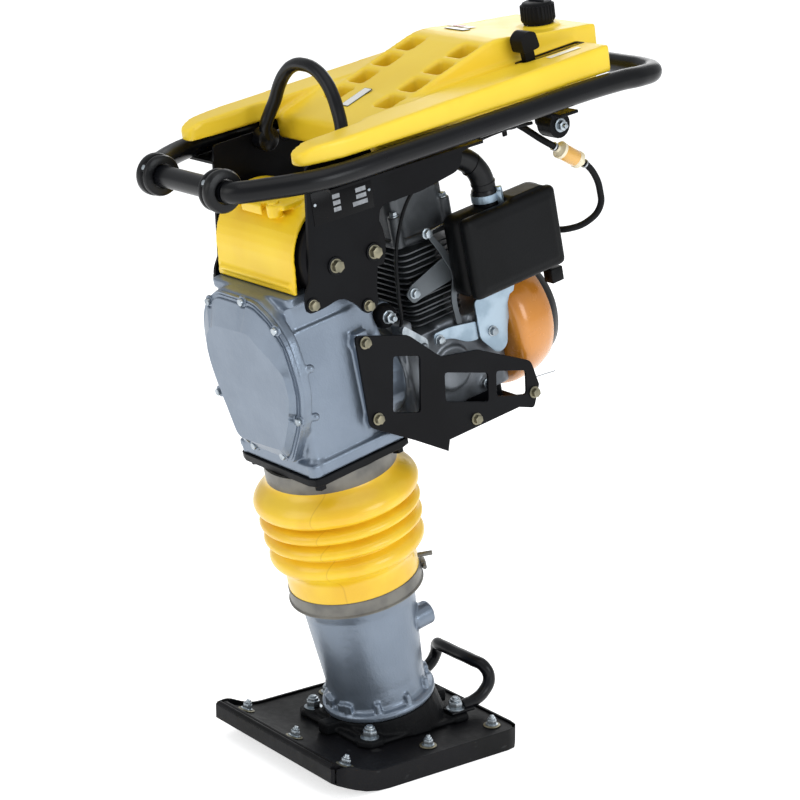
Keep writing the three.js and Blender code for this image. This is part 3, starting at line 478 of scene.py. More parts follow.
rod(leg, oil_seat, 18, 50, 82, 28)
piece("spring_leg", cast(leg, 1.7, 4), "foot", silver, stands_for=["spring_cylinder"], angle=80)

leg_plug = bmesh.new()
lathe(leg_plug, [[0, 81], [12, 81], [12, 84], [10, 85.5], [6, 85.5], [5.5, 83.5], [0, 83.5]], 36, oil_seat)
piece("oil_plug", leg_plug, "foot", zinc)


# Bellows: a thick yellow plastic boot with four folds and a faint mould seam down its front,
# held by a steel band at each end.
band_steel = Finish("band_steel", 0x77756F, 0x5E5D5A, (0.34, 0.52), 0.55, grain=0.2, grain_size=600, drift=22)
boot_plastic = Finish("bellows_plastic", 0xECC42A, 0xE3B422, (0.26, 0.36), grain=0.12, grain_size=220, drift=12,
                      coat=0.15)
across, back = boot_plastic.axis("X"), boot_plastic.axis("Y")
seam = 1 - boot_plastic.node("ShaderNodeMath", {"operation": "ABSOLUTE"}, {0: across - 0.072}).step(0.0004, 0.0012)
boot_plastic.stain(seam * 0.2 * back.step(0.06, -0.02), tint(0x8A4A08)).done()

boot = bmesh.new()
boot_profile = [(90, 262), (95, 262), (97.6, 272), (97.6, 296), (98, 308), (104, 318), (113, 324), (116.5, 333),
                (113, 343), (101, 350), (101, 352), (114, 357), (119.5, 363), (115, 372), (102, 377), (102, 379),
                (115, 382), (121, 389), (116, 398), (103, 402), (103, 404), (116, 407), (122.5, 416), (122, 427),
                (113, 438), (100, 447), (95, 456), (94, 466), (90, 466)]
lathe(boot, boot_profile, 48)
boot_piece = piece("bellows_boot", boot, "foot", boot_plastic, stands_for=["bellows"], angle=180)
round_off = boot_piece.modifiers.new("round folds", "SUBSURF")
round_off.levels = round_off.render_levels = 2
boot_piece.parent = None
MACHINE @ Vector((0, 0, 0.296))
MACHINE @ Vector((0, 0, 0.452))
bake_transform(boot_piece)


def band(name, profile, body, stands_for, turn, height):
    """A steel band round one end of the bellows, with its screw at the back."""
    form = bmesh.new()
    lathe(form, profile, 96)
    barrel = bmesh.new()
    block(barrel, (-4, -9, -5), (4, 9, 5), 1)
    rod(barrel, facing((0, 1, 0)), 3.2, -18, 16, 14, ease=0.5)
    weld_on(form, barrel, Matrix.Rotation(math.radians(turn), 4, "Z") @ shift((103, 0, height)))
    piece(name, form, body, band_steel, stands_for=stands_for)


lower_rim = [(94, 256), (100.5, 256.4), (100.8, 258), (98.6, 260), (98.6, 277.5), (97.8, 278.6), (94, 278.6)]
upper_rim = [(92, 453.5), (95.6, 453.8), (96.2, 455), (96.2, 479.3), (92, 479.4)]
band("lower_boot_band", lower_rim, "foot", ["lower_band"], 62, 268)
band("upper_boot_band", upper_rim, "machine", ["upper_band"], 95, 466)
tail = bmesh.new()
rod(tail, facing((0.6, 0.8, 0), (76, 66, 300)), 3.5, 0, 22, 16, ease=0.6)
piece("band_tail", tail, "foot", band_steel)


# Ram and drive inside the machine: turned steel rod and piston, wound springs, crank gear,
# pinion and clutch. They are bare oiled steel, seen only when the machine is opened.
def coat(nodes, finish):
    """Gives kept nodes a finish in their own material slots."""
    for node in nodes:
        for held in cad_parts[node].material_slots:
            held.material = finish.material


oiled_steel = Finish("oiled_steel", 0x8D9296, 0x6F757A, (0.22, 0.38), 0.9, grain=0.12, drift=30)
dark_iron = Finish("dark_iron", 0x34373B, 0x26292C, (0.45, 0.62), 0.5, grain=0.5, grain_size=420)
coat(["piston_rod", "ram_piston", "lower_spring", "upper_spring", "crank_gear", "connecting_rod", "pinion_shaft",
      "clutch_drum", "engine_crankshaft"], oiled_steel)
coat(["clutch_hub", "flywheel"], dark_iron)
coat(["guide_cylinder"], band_steel)


# Flange plate: a thick black iron plate between the guide tube and the crankcase,
# with cap screws up into the four corner bosses.
case_black = Finish("case_black", 0x090A0C, 0x0F1013, (0.32, 0.5), grain=0.4, grain_size=380, sheen_level=0.12)


def plate_screws(form):
    """Heads of the corner screws under the flange plate."""
    for x in (-80, 80):
        for y in (-73, 65):
            rod(form, shift((x, y, 0)), 9, 469, 481, 6, ease=1.2)


eased("flange_plate_black", "flange_plate", "machine", case_black, 1.8, extra=plate_screws)


# Crankcase: one silver-painted sand casting with a ridge round its foot, domed corner bosses
# and two bosses on each side for the guard. A rubber buffer with its nut sits on the boss above.
case = copy_of("crankcase")
for side in (1, -1):
    block(case, (min(side * 87, side * 94), -84, 500), (max(side * 87, side * 94), 78, 511), 2)
    for y, z in ((-70, 659), (-70, 584)):
        bmesh.ops.create_uvsphere(case, u_segments=16, v_segments=10, radius=6.5,
                                  matrix=shift((side * (112 if z > 600 else 100), y, z)))
    for y in (-72, 62):
        dome = shift((side * 79, y, 502)) @ Matrix.Diagonal((1, 1, 1.15, 1))
        bmesh.ops.create_uvsphere(case, u_segments=24, v_segments=14, radius=15.5, matrix=dome)
    for z in (542, 657):
        rod(case, facing((side, 0, 0), (side * 82, 28, z)), 13, 0, 18, 24)
block(case, (-92, -88, 500), (92, -81, 511), 2)
block(case, (-92, 73, 500), (92, 80, 511), 2)
rod(case, facing((1, 0, 0), (40, 100, 662)), 20, 0, 14, 28)
piece("crankcase_casting", cast(case, 2.2, 3), "machine", silver, stands_for=["crankcase"], angle=80)

stud_rubber = bmesh.new()
lathe(stud_rubber, [[0, 53], [17, 53], [18.5, 56], [18.5, 60], [16, 66], [12, 69], [0, 69]], 40,
      facing((1, 0, 0), (0, 100, 662)))
soft_rubber = Finish("soft_rubber", 0x0B0B0D, 0x101013, (0.5, 0.7), grain=0.3, grain_size=500, sheen_level=0.12)
piece("stud_rubber", stud_rubber, "machine", soft_rubber)
stud_nut = bmesh.new()
hex_nut(stud_nut, (68, 100, 662), (1, 0, 0), 15, washer=10, stud=17)
piece("stud_nut", stud_nut, "machine", zinc)


# Gear cover: a die-cast silver lid on the front, on a flange in two thin steps. Its flat middle
# falls away in sloping facets, which are scooped out round seven socket screws.
def plate(form, outline, low, high, axis="Z", holes=(), arc=4):
    """A flat plate between two heights on an axis, from an outline of (a, b, corner radius) and hole outlines."""
    sheet = bmesh.new()
    for loop in (outline, *holes):
        corners = [sheet.verts.new((p[0], p[1], 0)) for p in loop]
        sheet.faces.new(corners)
        for corner, point in zip(corners, loop):
            if len(point) > 2 and point[2]:
                bmesh.ops.bevel(sheet, geom=[corner], offset=point[2], segments=arc, profile=0.5, affect="VERTICES",
                                material=-1)
    if holes:
        bmesh.ops.delete(sheet, geom=sheet.faces[:], context="FACES_ONLY")
        bmesh.ops.triangle_fill(sheet, use_beauty=True, use_dissolve=False, edges=sheet.edges[:])
    raised = bmesh.ops.extrude_face_region(sheet, geom=sheet.faces[:])["geom"]
    bmesh.ops.translate(sheet, vec=(0, 0, high - low), verts=[g for g in raised if isinstance(g, bmesh.types.BMVert)])
    bmesh.ops.translate(sheet, vec=(0, 0, low), verts=sheet.verts)
    turned = {"X": Matrix(((0, 0, 1, 0), (1, 0, 0, 0), (0, 1, 0, 0), (0, 0, 0, 1))),
              "Y": Matrix(((1, 0, 0, 0), (0, 0, 1, 0), (0, 1, 0, 0), (0, 0, 0, 1))), "Z": FLOOR}[axis]
    bmesh.ops.transform(sheet, matrix=turned, verts=sheet.verts)
    bmesh.ops.recalc_face_normals(sheet, faces=sheet.faces)
    weld_on(form, sheet)


def oblong(low, high, corner):
    """Outline of a rectangle between two corners, rounded off."""
    return [(low[0], low[1], corner), (high[0], low[1], corner), (high[0], high[1], corner), (low[0], high[1], corner)]


def cover_outline(inset):
    """The gear cover's outline, drawn in by an inset."""
    outline = [(62, 512, 10), (105, 575, 20), (121, 628, 16), (120, 660, 16), (110, 706, 16), (83, 737, 14),
               (47, 756, 10), (-46, 756, 10), (-78, 737, 14), (-100, 706, 16), (-108, 660, 16), (-108, 628, 16),
               (-94, 575, 20), (-58, 512, 10)]
    across, up = 6, 634
    drawn = []
    for x, z, corner in outline:
        keep = 1 - inset / math.hypot(x - across, z - up)
        drawn.append((across + (x - across) * keep, up + (z - up) * keep, corner))
    return drawn


screw_places = [(22, 751), (93, 722), (-67, 735), (105, 590), (-95, 590), (45, 523), (-28, 521)]


def pocketed(outline, room):
    """An outline walked in short steps, rounded at its corners and scooped out round each screw."""
    walked = []
    for start, end in zip(outline, outline[1:] + outline[:1]):
        walked += [Vector(start[:2]).lerp(Vector(end[:2]), step / 14) for step in range(14)]
    for _ in range(6):
        walked = [(walked[i - 1] + walked[i] * 2 + walked[(i + 1) % len(walked)]) / 4 for i in range(len(walked))]
    for screw in (Vector(place) for place in screw_places if room):
        walked = [screw + (spot - screw).normalized() * max(room, (spot - screw).length) for spot in walked]
    return walked


gear_lid = bmesh.new()
plate(gear_lid, cover_outline(2), -97.6, -92.3, "Y", arc=5)
plate(gear_lid, cover_outline(5.5), -99, -97, "Y", arc=5)
flat_outline = [(62, 538), (92, 588), (107, 628), (104, 661), (86, 675), (51, 696), (33, 709),
                (-50, 705), (-66, 698), (-79, 684), (-85, 662), (-83, 640), (-70, 590), (-52, 532)]
crown = bmesh.new()
steps = [(cover_outline(10), 10, -97), (cover_outline(10), 10, -100.6), (cover_outline(11), 11, -101.8)]
rims = [[crown.verts.new((spot.x, y, spot.y)) for spot in pocketed(outline, room)] for outline, room, y in steps]
rims.append([crown.verts.new((spot.x, -109.5, spot.y)) for spot in pocketed(flat_outline, 0)])
for lower, upper in zip(rims, rims[1:]):
    for i in range(len(lower)):
        crown.faces.new((lower[i - 1], lower[i], upper[i], upper[i - 1]))
crown.faces.new(rims[-1])
bmesh.ops.recalc_face_normals(crown, faces=crown.faces)
weld_on(gear_lid, crown)
for x, z in screw_places:
    rod(gear_lid, facing((0, -1, 0), (x, -96, z)), 8.4, 0, 3.6, 24, ease=0.8)
piece("gear_cover_lid", gear_lid, "machine", silver, edge=0.7, stands_for=["gear_cover"], angle=4)


def socket_screw(form, at, out, radius, height):
    """A cap screw with a hexagon socket."""
    seat = facing(out, at)
    rod(form, seat, radius, 0, height, 24, ease=radius * 0.12)
    rod(form, seat @ shift((0, 0, 0.05)), radius * 0.5, height * 0.3, height, 6, top=radius * 0.55)


lid_screws = bmesh.new()
for x, z in screw_places:
    socket_screw(lid_screws, (x, -99, z), (0, -1, 0), 5.2, 5.5)
piece("gear_cover_screws", lid_screws, "machine", zinc)


# Top cover: a yellow plastic hood over the cleaner drum, with a bead along its lower front edge
# and a small raised ledge with its plug. The drum below is black, its rubber ends clamped by the brackets.
def yellow_plastic(name, tone, other):
    """Glossy blow-moulded plastic with a faint orange-peel skin."""
    plastic = Finish(name, tone, other, (0.3, 0.42), grain=0.1, grain_size=240, drift=7, coat=0.05)
    plastic.relief = plastic.relief + plastic.noise(60, 2) * 0.12
    dust = plastic.noise(26, 6).step(0.64, 0.8) * 0.08
    return plastic.stain(dust, tint(0xC9A227), 0.5).done()


yellow = yellow_plastic("yellow_plastic", 0xF2CE1F, 0xECC41A)
hood = copy_of("top_cover")
block(hood, (-52, -32, 864), (66, 16, 873), 4)
block(hood, (-52, -46, 860), (-28, -20, 871), 4)
plate(hood, [(-24, -44, 4), (30, -44, 4), (3, -22, 4)], 858, 872.5)
rod(hood, shift((44, -32, 0)), 11, 855, 874, 28, ease=2)
piece("top_hood", cast(hood, 1.7, 3), "machine", yellow, stands_for=["top_cover"], angle=80)
hood_plug = bmesh.new()
lathe(hood_plug, [[0, 870], [8, 870], [8, 876], [6.8, 877.6], [0, 877.6]], 32, shift((44, -32, 0)))
piece("hood_plug", hood_plug, "machine", yellow)

eased("cleaner_drum_shell", "cleaner_drum", "machine", case_black, 1.2)
SIDES = (("left", 1), ("right", -1))
for name, side in SIDES:
    mount = bmesh.new()
    lathe(mount, [[0, 62.4], [66, 62.4], [71, 67], [71, 74], [68, 77], [68, 96], [71, 99], [71, 104], [67, 109.6],
                  [0, 109.6]], 72, facing((side, 0, 0), (0, 25, 792)))
    sole = bmesh.ops.bisect_plane(mount, geom=mount.verts[:] + mount.edges[:] + mount.faces[:], plane_co=(0, 0, 756.6),
                                  plane_no=(0, 0, -1), clear_outer=True)["geom_cut"]
    bmesh.ops.contextual_create(mount, geom=[g for g in sole if isinstance(g, bmesh.types.BMEdge)])
    piece("rubber_mount_" + name + "_soft", mount, "machine", soft_rubber,
          stands_for=["rubber_mount_" + name])


# Bracket plates: two black sheets of 5 mm steel that join crankcase, rubber mounts and handle,
# bolted with yellow zinc hexagon bolts. A riveted name plate is left blank but for its small fields.
frame_black = Finish("frame_black", 0x07070A, 0x0C0D10, (0.26, 0.42), grain=0.18, grain_size=240, sheen_level=0.1)
bolt_heads, bolt_washers = bmesh.new(), bmesh.new()
for name, side in SIDES:
    eased("bracket_" + name + "_plate", "bracket_" + name, "machine", frame_black, 0.9)
    for y, z, size in ((1, 784, 15), (66, 781, 15), (-47, 744, 12), (40, 711, 12)):
        rod(bolt_washers, facing((side, 0, 0), (side * 115, y, z)), size * 0.86, 0, 2, 28, ease=0.5)
        hex_nut(bolt_heads, (side * 115.6, y, z), (side, 0, 0), size, washer=size * 0.66)
piece("bracket_bolts", bolt_heads, "machine", passivated)
piece("bracket_washers", bolt_washers, "machine", frame_black)

name_plate, fields, rivets = bmesh.new(), bmesh.new(), bmesh.new()
slope = shift((0, 32, 867)) @ Matrix.Rotation(math.radians(-3.2), 4, "X")
block(name_plate, (115, -50, -23), (115.7, 50, 23), 0.3)
for y, z, width in ((31, 7.5, 17), (31, -1.5, 17), (28, -10.5, 25), (-10, 9, 12), (-10, 0, 12), (-10, -9, 12)):
    block(fields, (115.6, y - width / 2, z - 3), (115.95, y + width / 2, z + 3))
for y, z in ((-45, 6), (45, 3)):
    bmesh.ops.create_uvsphere(rivets, u_segments=16, v_segments=8, radius=2.6,
                              matrix=shift((115.6, y, z)) @ Matrix.Diagonal((0.6, 1, 1, 1)))
for form in (name_plate, fields, rivets):
    bmesh.ops.transform(form, matrix=slope, verts=form.verts)
plate_black = Finish("name_plate_black", 0x070709, 0x0A0A0C, (0.18, 0.28), grain=0.02, sheen_level=0.1)
plate_grey = Finish("name_plate_fields", 0x8F9296, 0x7D8084, (0.3, 0.42), 0.6, grain=0.05, drift=120)
piece("name_plate", name_plate, "machine", plate_black)
piece("name_plate_fields", fields, "machine", plate_grey)
piece("name_plate_rivets", rivets, "machine", zinc)


# Engine: a small air-cooled four-stroke in dark grey castings, with thin cooling fins,
# a rocker cover with its rim and cap screws, and a plug with its boot on the head.
grey_cast = Finish("engine_grey", 0x4C4F52, 0x3A3D40, (0.34, 0.52), 0.5, grain=0.45, grain_size=420, drift=16)
engine_case = copy_of("engine_block")
block(engine_case, (40, 118, 486), (66, 140, 640), 4)
block(engine_case, (-64, 180, 600), (64, 232, 618), 5)
rod(engine_case, facing((1, 0, 0), (0, 196, 545)), 34, 50, 68, 32, ease=3)
for y, z in ((140, 500), (250, 500), (140, 600), (250, 600), (196, 520)):
    rod(engine_case, facing((1, 0, 0), (0, y, z)), 9, 50, 66, 16)
block_grey = Finish("engine_block_grey", 0x83888E, 0x6C7177, (0.3, 0.46), 0.6, grain=0.45, grain_size=420, drift=16)
piece("engine_casting", cast(engine_case, 2.2, 3), "machine", block_grey, stands_for=["engine_block"],
      angle=80)

barrel = bmesh.new()
rod(barrel, shift((0, 200, 0)), 40, 612.5, 741.6, 48)
fin_pitch, fin_thickness = 8.6, 2.6
for step in range(14):
    z = 620 + fin_pitch * step
    reach = 58 if step > 2 else 52
    plate(barrel, oblong((-reach, 200 - reach + 6), (reach, 200 + reach - 6), 14), z, z + fin_thickness)
piece("engine_fins", barrel, "machine", grey_cast, stands_for=["cylinder"], edge=0.5)

rocker = copy_of("rocker_cover")
plate(rocker, oblong((-51, 147), (51, 255), 12), 742.4, 752)
plate(rocker, oblong((-38, 160), (38, 242), 10), 808, 817)
rocker_corners = ((45, 156), (45, 246), (-45, 156), (-45, 246))
for x, y in rocker_corners:
    rod(rocker, shift((x, y, 0)), 9, 742.4, 790, 18)
piece("rocker_cover_casting", cast(rocker, 1.9, 3), "machine", grey_cast, stands_for=["rocker_cover"],
      angle=80)
rocker_screws = bmesh.new()
for x, y in rocker_corners:
    hex_nut(rocker_screws, (x, y, 789), (0, 0, 1), 10, washer=7)
piece("rocker_screws", rocker_screws, "machine", zinc)
plug_boot = bmesh.new()
lathe(plug_boot, [[0, 40], [8, 40], [9, 46], [8, 62], [11, 66], [12, 84], [8, 88], [0, 88]], 32,
      facing((-0.55, 0.3, 0.55), (-18, 206, 704)))
piece("spark_plug_boot", plug_boot, "machine", soft_rubber)


# Fan housing and recoil starter: a spun steel bowl in orange enamel behind the engine,
# and a black pressed cover with a ring of raised ribs on its back, and its pull grip.
fan_seat = facing((0, 1, 0), (0, 0, 562))
fan_enamel = Finish("orange_enamel", 0xC9822E, 0xBB7526, (0.2, 0.32), 0.05, grain=0.08, grain_size=260, coat=0.4)
bowl = bmesh.new()
lathe(bowl, [[31, 300.4], [82, 300.4], [93, 303], [99, 309], [101, 320], [100.5, 336], [97, 356], [92, 370], [90, 372],
             [84, 372], [84, 366], [92, 340], [94, 312], [82, 305], [31, 305], [31, 300.4]], 96, fan_seat)
piece("fan_bowl", bowl, "machine", fan_enamel, stands_for=["fan_housing"])

starter = bmesh.new()
lathe(starter, [[0, 398], [58, 398], [72, 396.5], [80, 390], [86, 377], [87, 372.4], [90, 372.3]], 72, fan_seat)
bmesh.ops.solidify(starter, geom=starter.faces[:], thickness=3)
for turn in range(0, 360, 20):
    rib = bmesh.new()
    block(rib, (-3.5, 395, 30), (3.5, 400.5, 62), 1.2)
    weld_on(starter, rib, shift((0, 0, 562)) @ Matrix.Rotation(math.radians(turn), 4, "Y"))
lathe(starter, [[0, 396], [24, 396], [24, 401], [20, 403], [0, 403]], 48, fan_seat)
glossy_black = Finish("pressed_black", 0x07080A, 0x0D0E11, (0.28, 0.42), grain=0.12, grain_size=300, sheen_level=0.24)
piece("recoil_starter", starter, "machine", glossy_black, stands_for=["recoil_cover"])
eased("starter_pull", "starter_grip", "starter", soft_rubber, 0.8)


# Carburettor, choke and governor: a raw zinc body with its bowl, small zinc-plated levers,
# and cut steel strips, zinc brackets, thin link rods and bolts on the engine's left side.
carb_zinc = Finish("carburettor_zinc", 0x9BA0A3, 0x84898D, (0.3, 0.45), 0.75, grain=0.35, grain_size=500)
eased("carburettor_body", "carburettor", "machine", carb_zinc, 1.2)
eased("choke_arm", "choke_lever", "choke", zinc, 0.4)
eased("governor_lever", "governor_arm", "governor", zinc, 0.5)

strips = bmesh.new()
plate(strips, [(183, 762, 3), (193, 758, 3), (214, 727, 8), (232, 686, 10), (219, 644, 10), (222, 602, 3),
               (213, 602, 3), (210, 648, 10), (221, 684, 10), (204, 724, 8)], 69, 71.5, "X")
plate(strips, [(137, 680, 5), (149, 692, 5), (214, 713, 3), (248, 716, 3), (230, 676, 3), (166, 668, 8),
               (147, 664, 5)], 66, 68.5, "X")
piece("linkage_strips", strips, "machine", Finish("worn_steel", 0x5F6468, 0x44484C, (0.3, 0.5), 0.8, grain=0.15),
      edge=0.5)
blue_zinc = Finish("blue_zinc", 0xA9BBC9, 0x8FA2B1, (0.25, 0.4), 0.7, grain=0.06, drift=30)
zinc_plates = bmesh.new()
plate(zinc_plates, [(244, 634, 6), (324, 640, 6), (307, 600, 8), (297, 581, 10), (290, 546, 10), (270, 542, 8),
                    (244, 574, 6)], 76, 79, "X")
plate(zinc_plates, [(167, 611, 5), (196, 611, 8), (244, 602, 3), (244, 574, 3), (224, 576, 10), (198, 593, 8),
                    (182, 596, 4), (167, 592, 5)], 72, 74.5, "X")
piece("zinc_brackets", zinc_plates, "machine", blue_zinc, edge=0.6)
rods = bmesh.new()
rod(rods, facing((-6, 82, 5), (69, 187, 756)), 1.5, 0, 82, 12)
rod(rods, facing((2, 44, -5), (40, 345, 462)), 1.0, 0, 52, 10)
piece("link_rods", rods, "machine", bright_wire)
engine_bolts = bmesh.new()
for x, y, z in ((79, 267, 579), (74.5, 175, 599), (68.5, 151, 679), (71.5, 188, 757), (68, 140, 500), (68, 250, 500)):
    hex_nut(engine_bolts, (x, y, z), (1, 0, 0), 11, washer=8)
piece("engine_bolts", engine_bolts, "machine", zinc)


# Air box and intake: a black moulded box in two halves with softly rounded corners, a ridge on its lid,
# and a ribbed rubber elbow clamped to its port that leads down into the drum. The muffler is made here too.
moulded_black = Finish("moulded_black", 0x08090A, 0x0D0E10, (0.36, 0.52), grain=0.3, grain_size=300, sheen_level=0.12)
box_half = bmesh.new()
block(box_half, (64, 218, 650), (104.2, 388, 772), 14, 4)
port_seat = shift((86, 289, 0))
lathe(box_half, [[12, 766], [16.5, 766], [16.5, 771], [15, 774], [15, 783.8], [12, 783.8], [12, 766]], 40, port_seat)
block(box_half, (84, 372, 618), (104, 394, 640), 1.5)
block(box_half, (86, 372, 622), (98, 376, 660), 1.5)
piece("air_box_half", box_half, "machine", moulded_black, stands_for=["air_box"], angle=60)
box_lid = bmesh.new()
block(box_lid, (104.6, 218, 650), (126, 388, 772), 9, 4)
block(box_lid, (110, 226, 658), (127.4, 380, 764), 8, 3)
plate(box_lid, [(304, 765, 4), (310, 776, 5), (372, 776, 6), (378, 765, 4)], 86, 118, "X")
piece("air_box_lid", cast(box_lid, 2.0, 5), "machine", moulded_black, stands_for=["air_box_cover"],
      angle=80)

elbow_points = [(86, 289, 781), (86, 290, 800), (84, 283, 824), (80, 262, 846), (75, 232, 856), (68, 190, 858),
                (60, 150, 850), (49, 122, 832), (43, 105, 820), (42, 93, 817)]


def elbow_ribs(form):
    """Moulding ribs and the cuff of the intake elbow."""
    lathe(form, [[15.4, 772.6], [18.6, 772.6], [18.8, 774], [18.8, 788], [17.6, 792], [15.4, 792], [15.4, 772.6]], 48,
          port_seat)
    for at, out in (((86, 290, 801), (0, -0.1, 1)), ((83, 277, 832), (-0.1, -0.75, 0.7)),
                    ((78, 250, 852), (-0.2, -1, 0.25))):
        lathe(form, [[16.5, -1.4], [17.9, -1.2], [17.9, 1.2], [16.5, 1.4], [16.5, -1.4]], 40, facing(out, at))


tube_piece("intake_elbow_rubber", elbow_points, 17, "machine", glossy_black, ["intake_elbow"],
           extra=elbow_ribs, sides=8)
clamp = bmesh.new()
lathe(clamp, [[18.9, 775], [20, 775], [20, 786], [18.9, 786], [18.9, 775]], 56, port_seat)
clamp_at = facing((0.75, 0.65, 0), (86, 289, 780.5)) @ shift((0, 0, 22))
clamp_screw = bmesh.new()
block(clamp_screw, (-7, -8, -3.5), (7, 8, 4), 1.5)
rod(clamp_screw, facing((0, 1, 0)), 4.6, -14, 13, 20, ease=0.8)
weld_on(clamp, clamp_screw, clamp_at)
piece("hose_clamp", clamp, "machine", blue_zinc)
eased("muffler_shell", "muffler", "machine", dark_iron, 2.5)


# Engine guards: a black sheet on each side with windows cut in, tied by a cross plate
# and bolted to the crankcase bosses with yellow zinc bolts.
guard_bolts = bmesh.new()
for name, side in SIDES:
    eased("guard_" + name + "_sheet", "guard_" + name, "machine", frame_black, 0.9)
    for y, z in ((30, 657), (27, 542), (193, 474), (304, 472)):
        hex_nut(guard_bolts, (side * 104.3, y, z), (side, 0, 0), 12, washer=9)
piece("guard_bolts", guard_bolts, "machine", passivated)
eased("guard_cross_plate", "guard_cross", "machine", frame_black, 1.0)


# Handle: a bent 30 mm steel tube in black enamel round the whole machine, a straight bar in front
# with two black carrying rollers, and a lifting hook of bent bar on two bosses.
def front_bar(form):
    """The straight bar across the front of the handle."""
    rod(form, facing((1, 0, 0), (0, -128, 0)), 15, -96, 96, 32)


handle_points = both_sides([(95, -128, 0), (107, -124, 0), (120, -111, 0), (134, -90, 0), (151, -61, 0), (163, -30, 0),
                            (168, 0, 0), (168, 100, 1), (168, 300, 4), (168, 500, 5), (168, 540, 2), (154, 574, -1),
                            (124, 588, -2), (80, 590, -2), (0, 590, -2)])
tube_piece("handle_loop", handle_points, 15, "machine", grip_black, ["handle_tube"], HANDLE, front_bar,
           sides=8)
roller_black = Finish("roller_black", 0x07080B, 0x0C0D10, (0.25, 0.4), grain=0.2, grain_size=260, sheen_level=0.24)
for name, side in SIDES:
    wheel = bmesh.new()
    lathe(wheel, [[17.2, 64], [23, 64], [27, 65.5], [28.5, 69], [28, 72], [24.5, 74.5], [24.5, 76.5], [28.6, 78.5],
                  [29.5, 82], [29.3, 87], [27, 90.5], [22, 92], [17.2, 92], [17.2, 64]], 64,
          facing((side, 0, 0), (0, -128, 0)))
    screw_way, wheel_middle = Vector((0, -0.8, 0.6)), Vector((side * 75.5, -128, 0))
    rod(wheel, facing(screw_way, wheel_middle), 6, 22, 27.4, 20, ease=1)
    piece("carrying_" + name, wheel, "front_roller_" + name, roller_black, HANDLE,
          stands_for=["roller_" + name])
    screw = bmesh.new()
    socket_screw(screw, wheel_middle + screw_way * 25.6, screw_way, 3.6, 2.8)
    piece("roller_screw_" + name, screw, "front_roller_" + name, zinc, HANDLE)

hook_points = both_sides([(96, 68, 0), (93, 64, 16), (86, 70, 36), (76, 75, 54), (64, 78, 76), (48, 80, 94),
                          (26, 81, 107), (0, 81, 111)])


def hook_bosses(form):
    """Bosses of the hook on the inside of the bracket plates."""
    for side in (1, -1):
        lathe(form, [[0, 89.5], [14, 89.5], [17, 92], [17, 109.6], [0, 109.6]], 40, facing((side, 0, 0), (0, 66, -2)))


tube_piece("lifting_bow", hook_points, 9.4, "machine", grip_black, ["lifting_hook"], HANDLE, hook_bosses,
           sides=8)


# Fuel tank: one yellow blow-moulded piece, with two arms over the tube, a sloping deck with eight
# windows and a raised block at the back. Blank film labels and the lever's slot trim lie on it.
tank_yellow = yellow_plastic("tank_yellow", 0xF4D235, 0xEFCB2A)
tank = copy_of("fuel_tank", HANDLE)
piece("tank_moulding", cast(tank, 2.8, 5), "machine", tank_yellow, HANDLE, stands_for=["fuel_tank"],
      angle=80)

label_white, label_black, label_red = (
    Finish(name, tone, other, (0.25, 0.35), grain=0.02, coat=0.2) for name, tone, other in
    (("label_white", 0xF1F1EC, 0xE6E6E0), ("label_black", 0x151515, 0x1D1D1D), ("label_red", 0xB5261E, 0xA82018)))


def label(name, centre, half, tilt, finish):
    """A blank film label laid on the tank, from its half width and half length."""
    form = bmesh.new()
    plate(form, oblong((-half[0], -half[1]), half, 1.5), 0, 0.5)
    lay = shift(centre) @ Matrix.Rotation(math.radians(tilt), 4, "X")
    bmesh.ops.transform(form, matrix=lay, verts=form.verts)
    piece(name, form, "machine", finish, HANDLE)


deck_slope, block_slope = math.degrees(math.atan(72 / 245)), -7.9
label("label_rim", (-8, 166, 43.4), (9, 24), deck_slope, label_black)
label("label_face", (-8, 166, 43.8), (7.8, 22.8), deck_slope, label_white)
label("label_side", (134, 430, 58.6), (5, 29), 1.9, label_white)
label("label_top_white", (-52, 398, 87.6), (26, 7), block_slope, label_white)
label("label_top_red", (-56, 398, 88.0), (9, 6), block_slope, label_red)
label("label_top_low", (-34, 376, 90.4), (22, 8), block_slope, label_black)
label("label_top_low_face", (-34, 376, 90.8), (20.6, 6.6), block_slope, label_white)

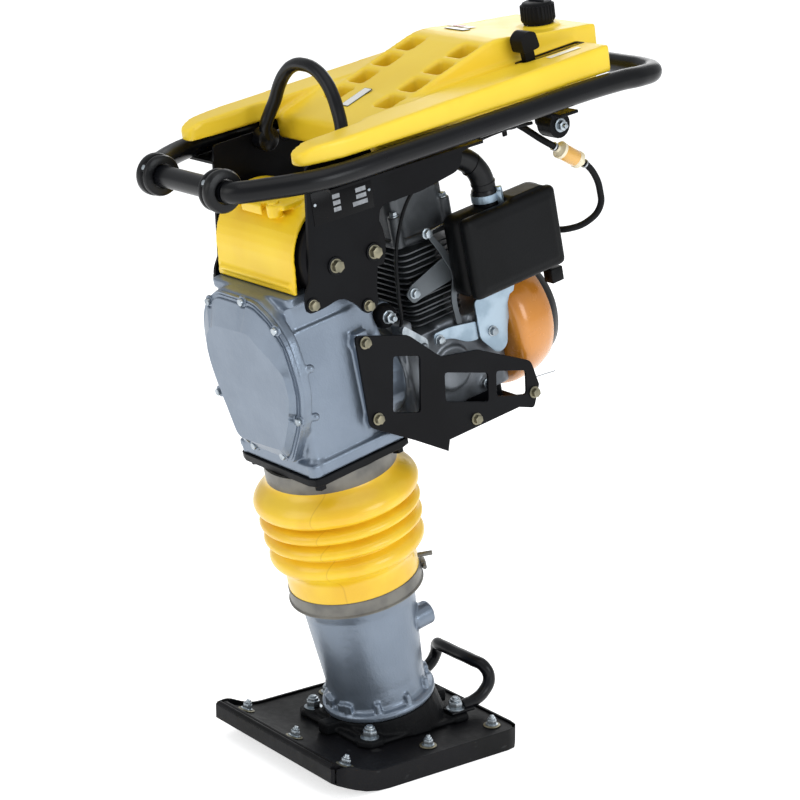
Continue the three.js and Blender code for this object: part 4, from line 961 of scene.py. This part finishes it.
slot_trim = bmesh.new()
plate(slot_trim, oblong((99.5, 366), (120.5, 484), 4), -0.6, 1.2, holes=[oblong((103.8, 371.5), (116.2, 478.5), 3)])
shelf_tilt = math.atan((58 - 47) / (490 - 180))
bmesh.ops.transform(slot_trim, matrix=shift((0, 425, 56.5)) @ Matrix.Rotation(shelf_tilt, 4, "X")
                    @ shift((0, -425, 0)), verts=slot_trim.verts)
piece("lever_slot_trim", slot_trim, "machine", moulded_black, HANDLE, edge=0.4)


# Fuel cap: a black moulded screw cap with a ring of finger ribs, over its rubber seal.
cap_black = Finish("cap_black", 0x09090B, 0x0F0F11, (0.4, 0.58), grain=0.3, grain_size=400, sheen_level=0.12)
cap = bmesh.new()
cap_seat = shift((35, 472, 84))
lathe(cap, [[0, 2.4], [23.5, 2.4], [24.6, 4], [24.6, 9], [23.6, 26], [21, 30.5], [17, 32], [14, 31.4], [0, 31.2]], 64,
      cap_seat)
for rib in range(28):
    lean = cap_seat @ Matrix.Rotation(2 * math.pi * rib / 28, 4, "Z") @ shift((23.6, 0, 0))
    rod(cap, lean, 1.8, 5, 27, 8, top=1.5, ease=0.4)
cap_bar = bmesh.new()
block(cap_bar, (-15, -2.6, 30), (15, 2.6, 34), 1.4)
weld_on(cap, cap_bar, cap_seat)
piece("fuel_cap_moulding", cap, "cap", cap_black, HANDLE, stands_for=["fuel_cap"])
coat(["cap_seal"], soft_rubber)


# Throttle and fuel tap: a black moulded lever in the tank's slot on its bracket under the tube,
# its cable in a black sheath down to the engine, and the tap with its small lever.
lever = copy_of("throttle_lever", HANDLE)
piece("throttle_lever_moulding", lever, "throttle", cap_black, HANDLE, 1.4, ["throttle_lever"],
      turn_out=False)
eased("lever_bracket_casting", "lever_bracket", "machine", frame_black, 1.4, HANDLE)
lever_bolt = bmesh.new()
hex_nut(lever_bolt, (148, 398, -37), (1, 0, 0), 13, washer=10, stud=14)
piece("lever_bolt", lever_bolt, "machine", zinc, HANDLE)
cable_points = [(112, 374, 866), (106, 330, 870), (99, 245, 862), (94, 170, 838), (90, 126, 776), (90, 110, 700),
                (82, 112, 655), (68, 118, 642)]
tube_piece("throttle_cable_sheath", cable_points, 2.6, "machine", hose_rubber, ["throttle_cable"],
           sides=4)
eased("tap_body", "fuel_cock", "machine", dark_iron, 0.8)
eased("tap_lever", "cock_lever", "fuel_valve", cap_black, 0.5)
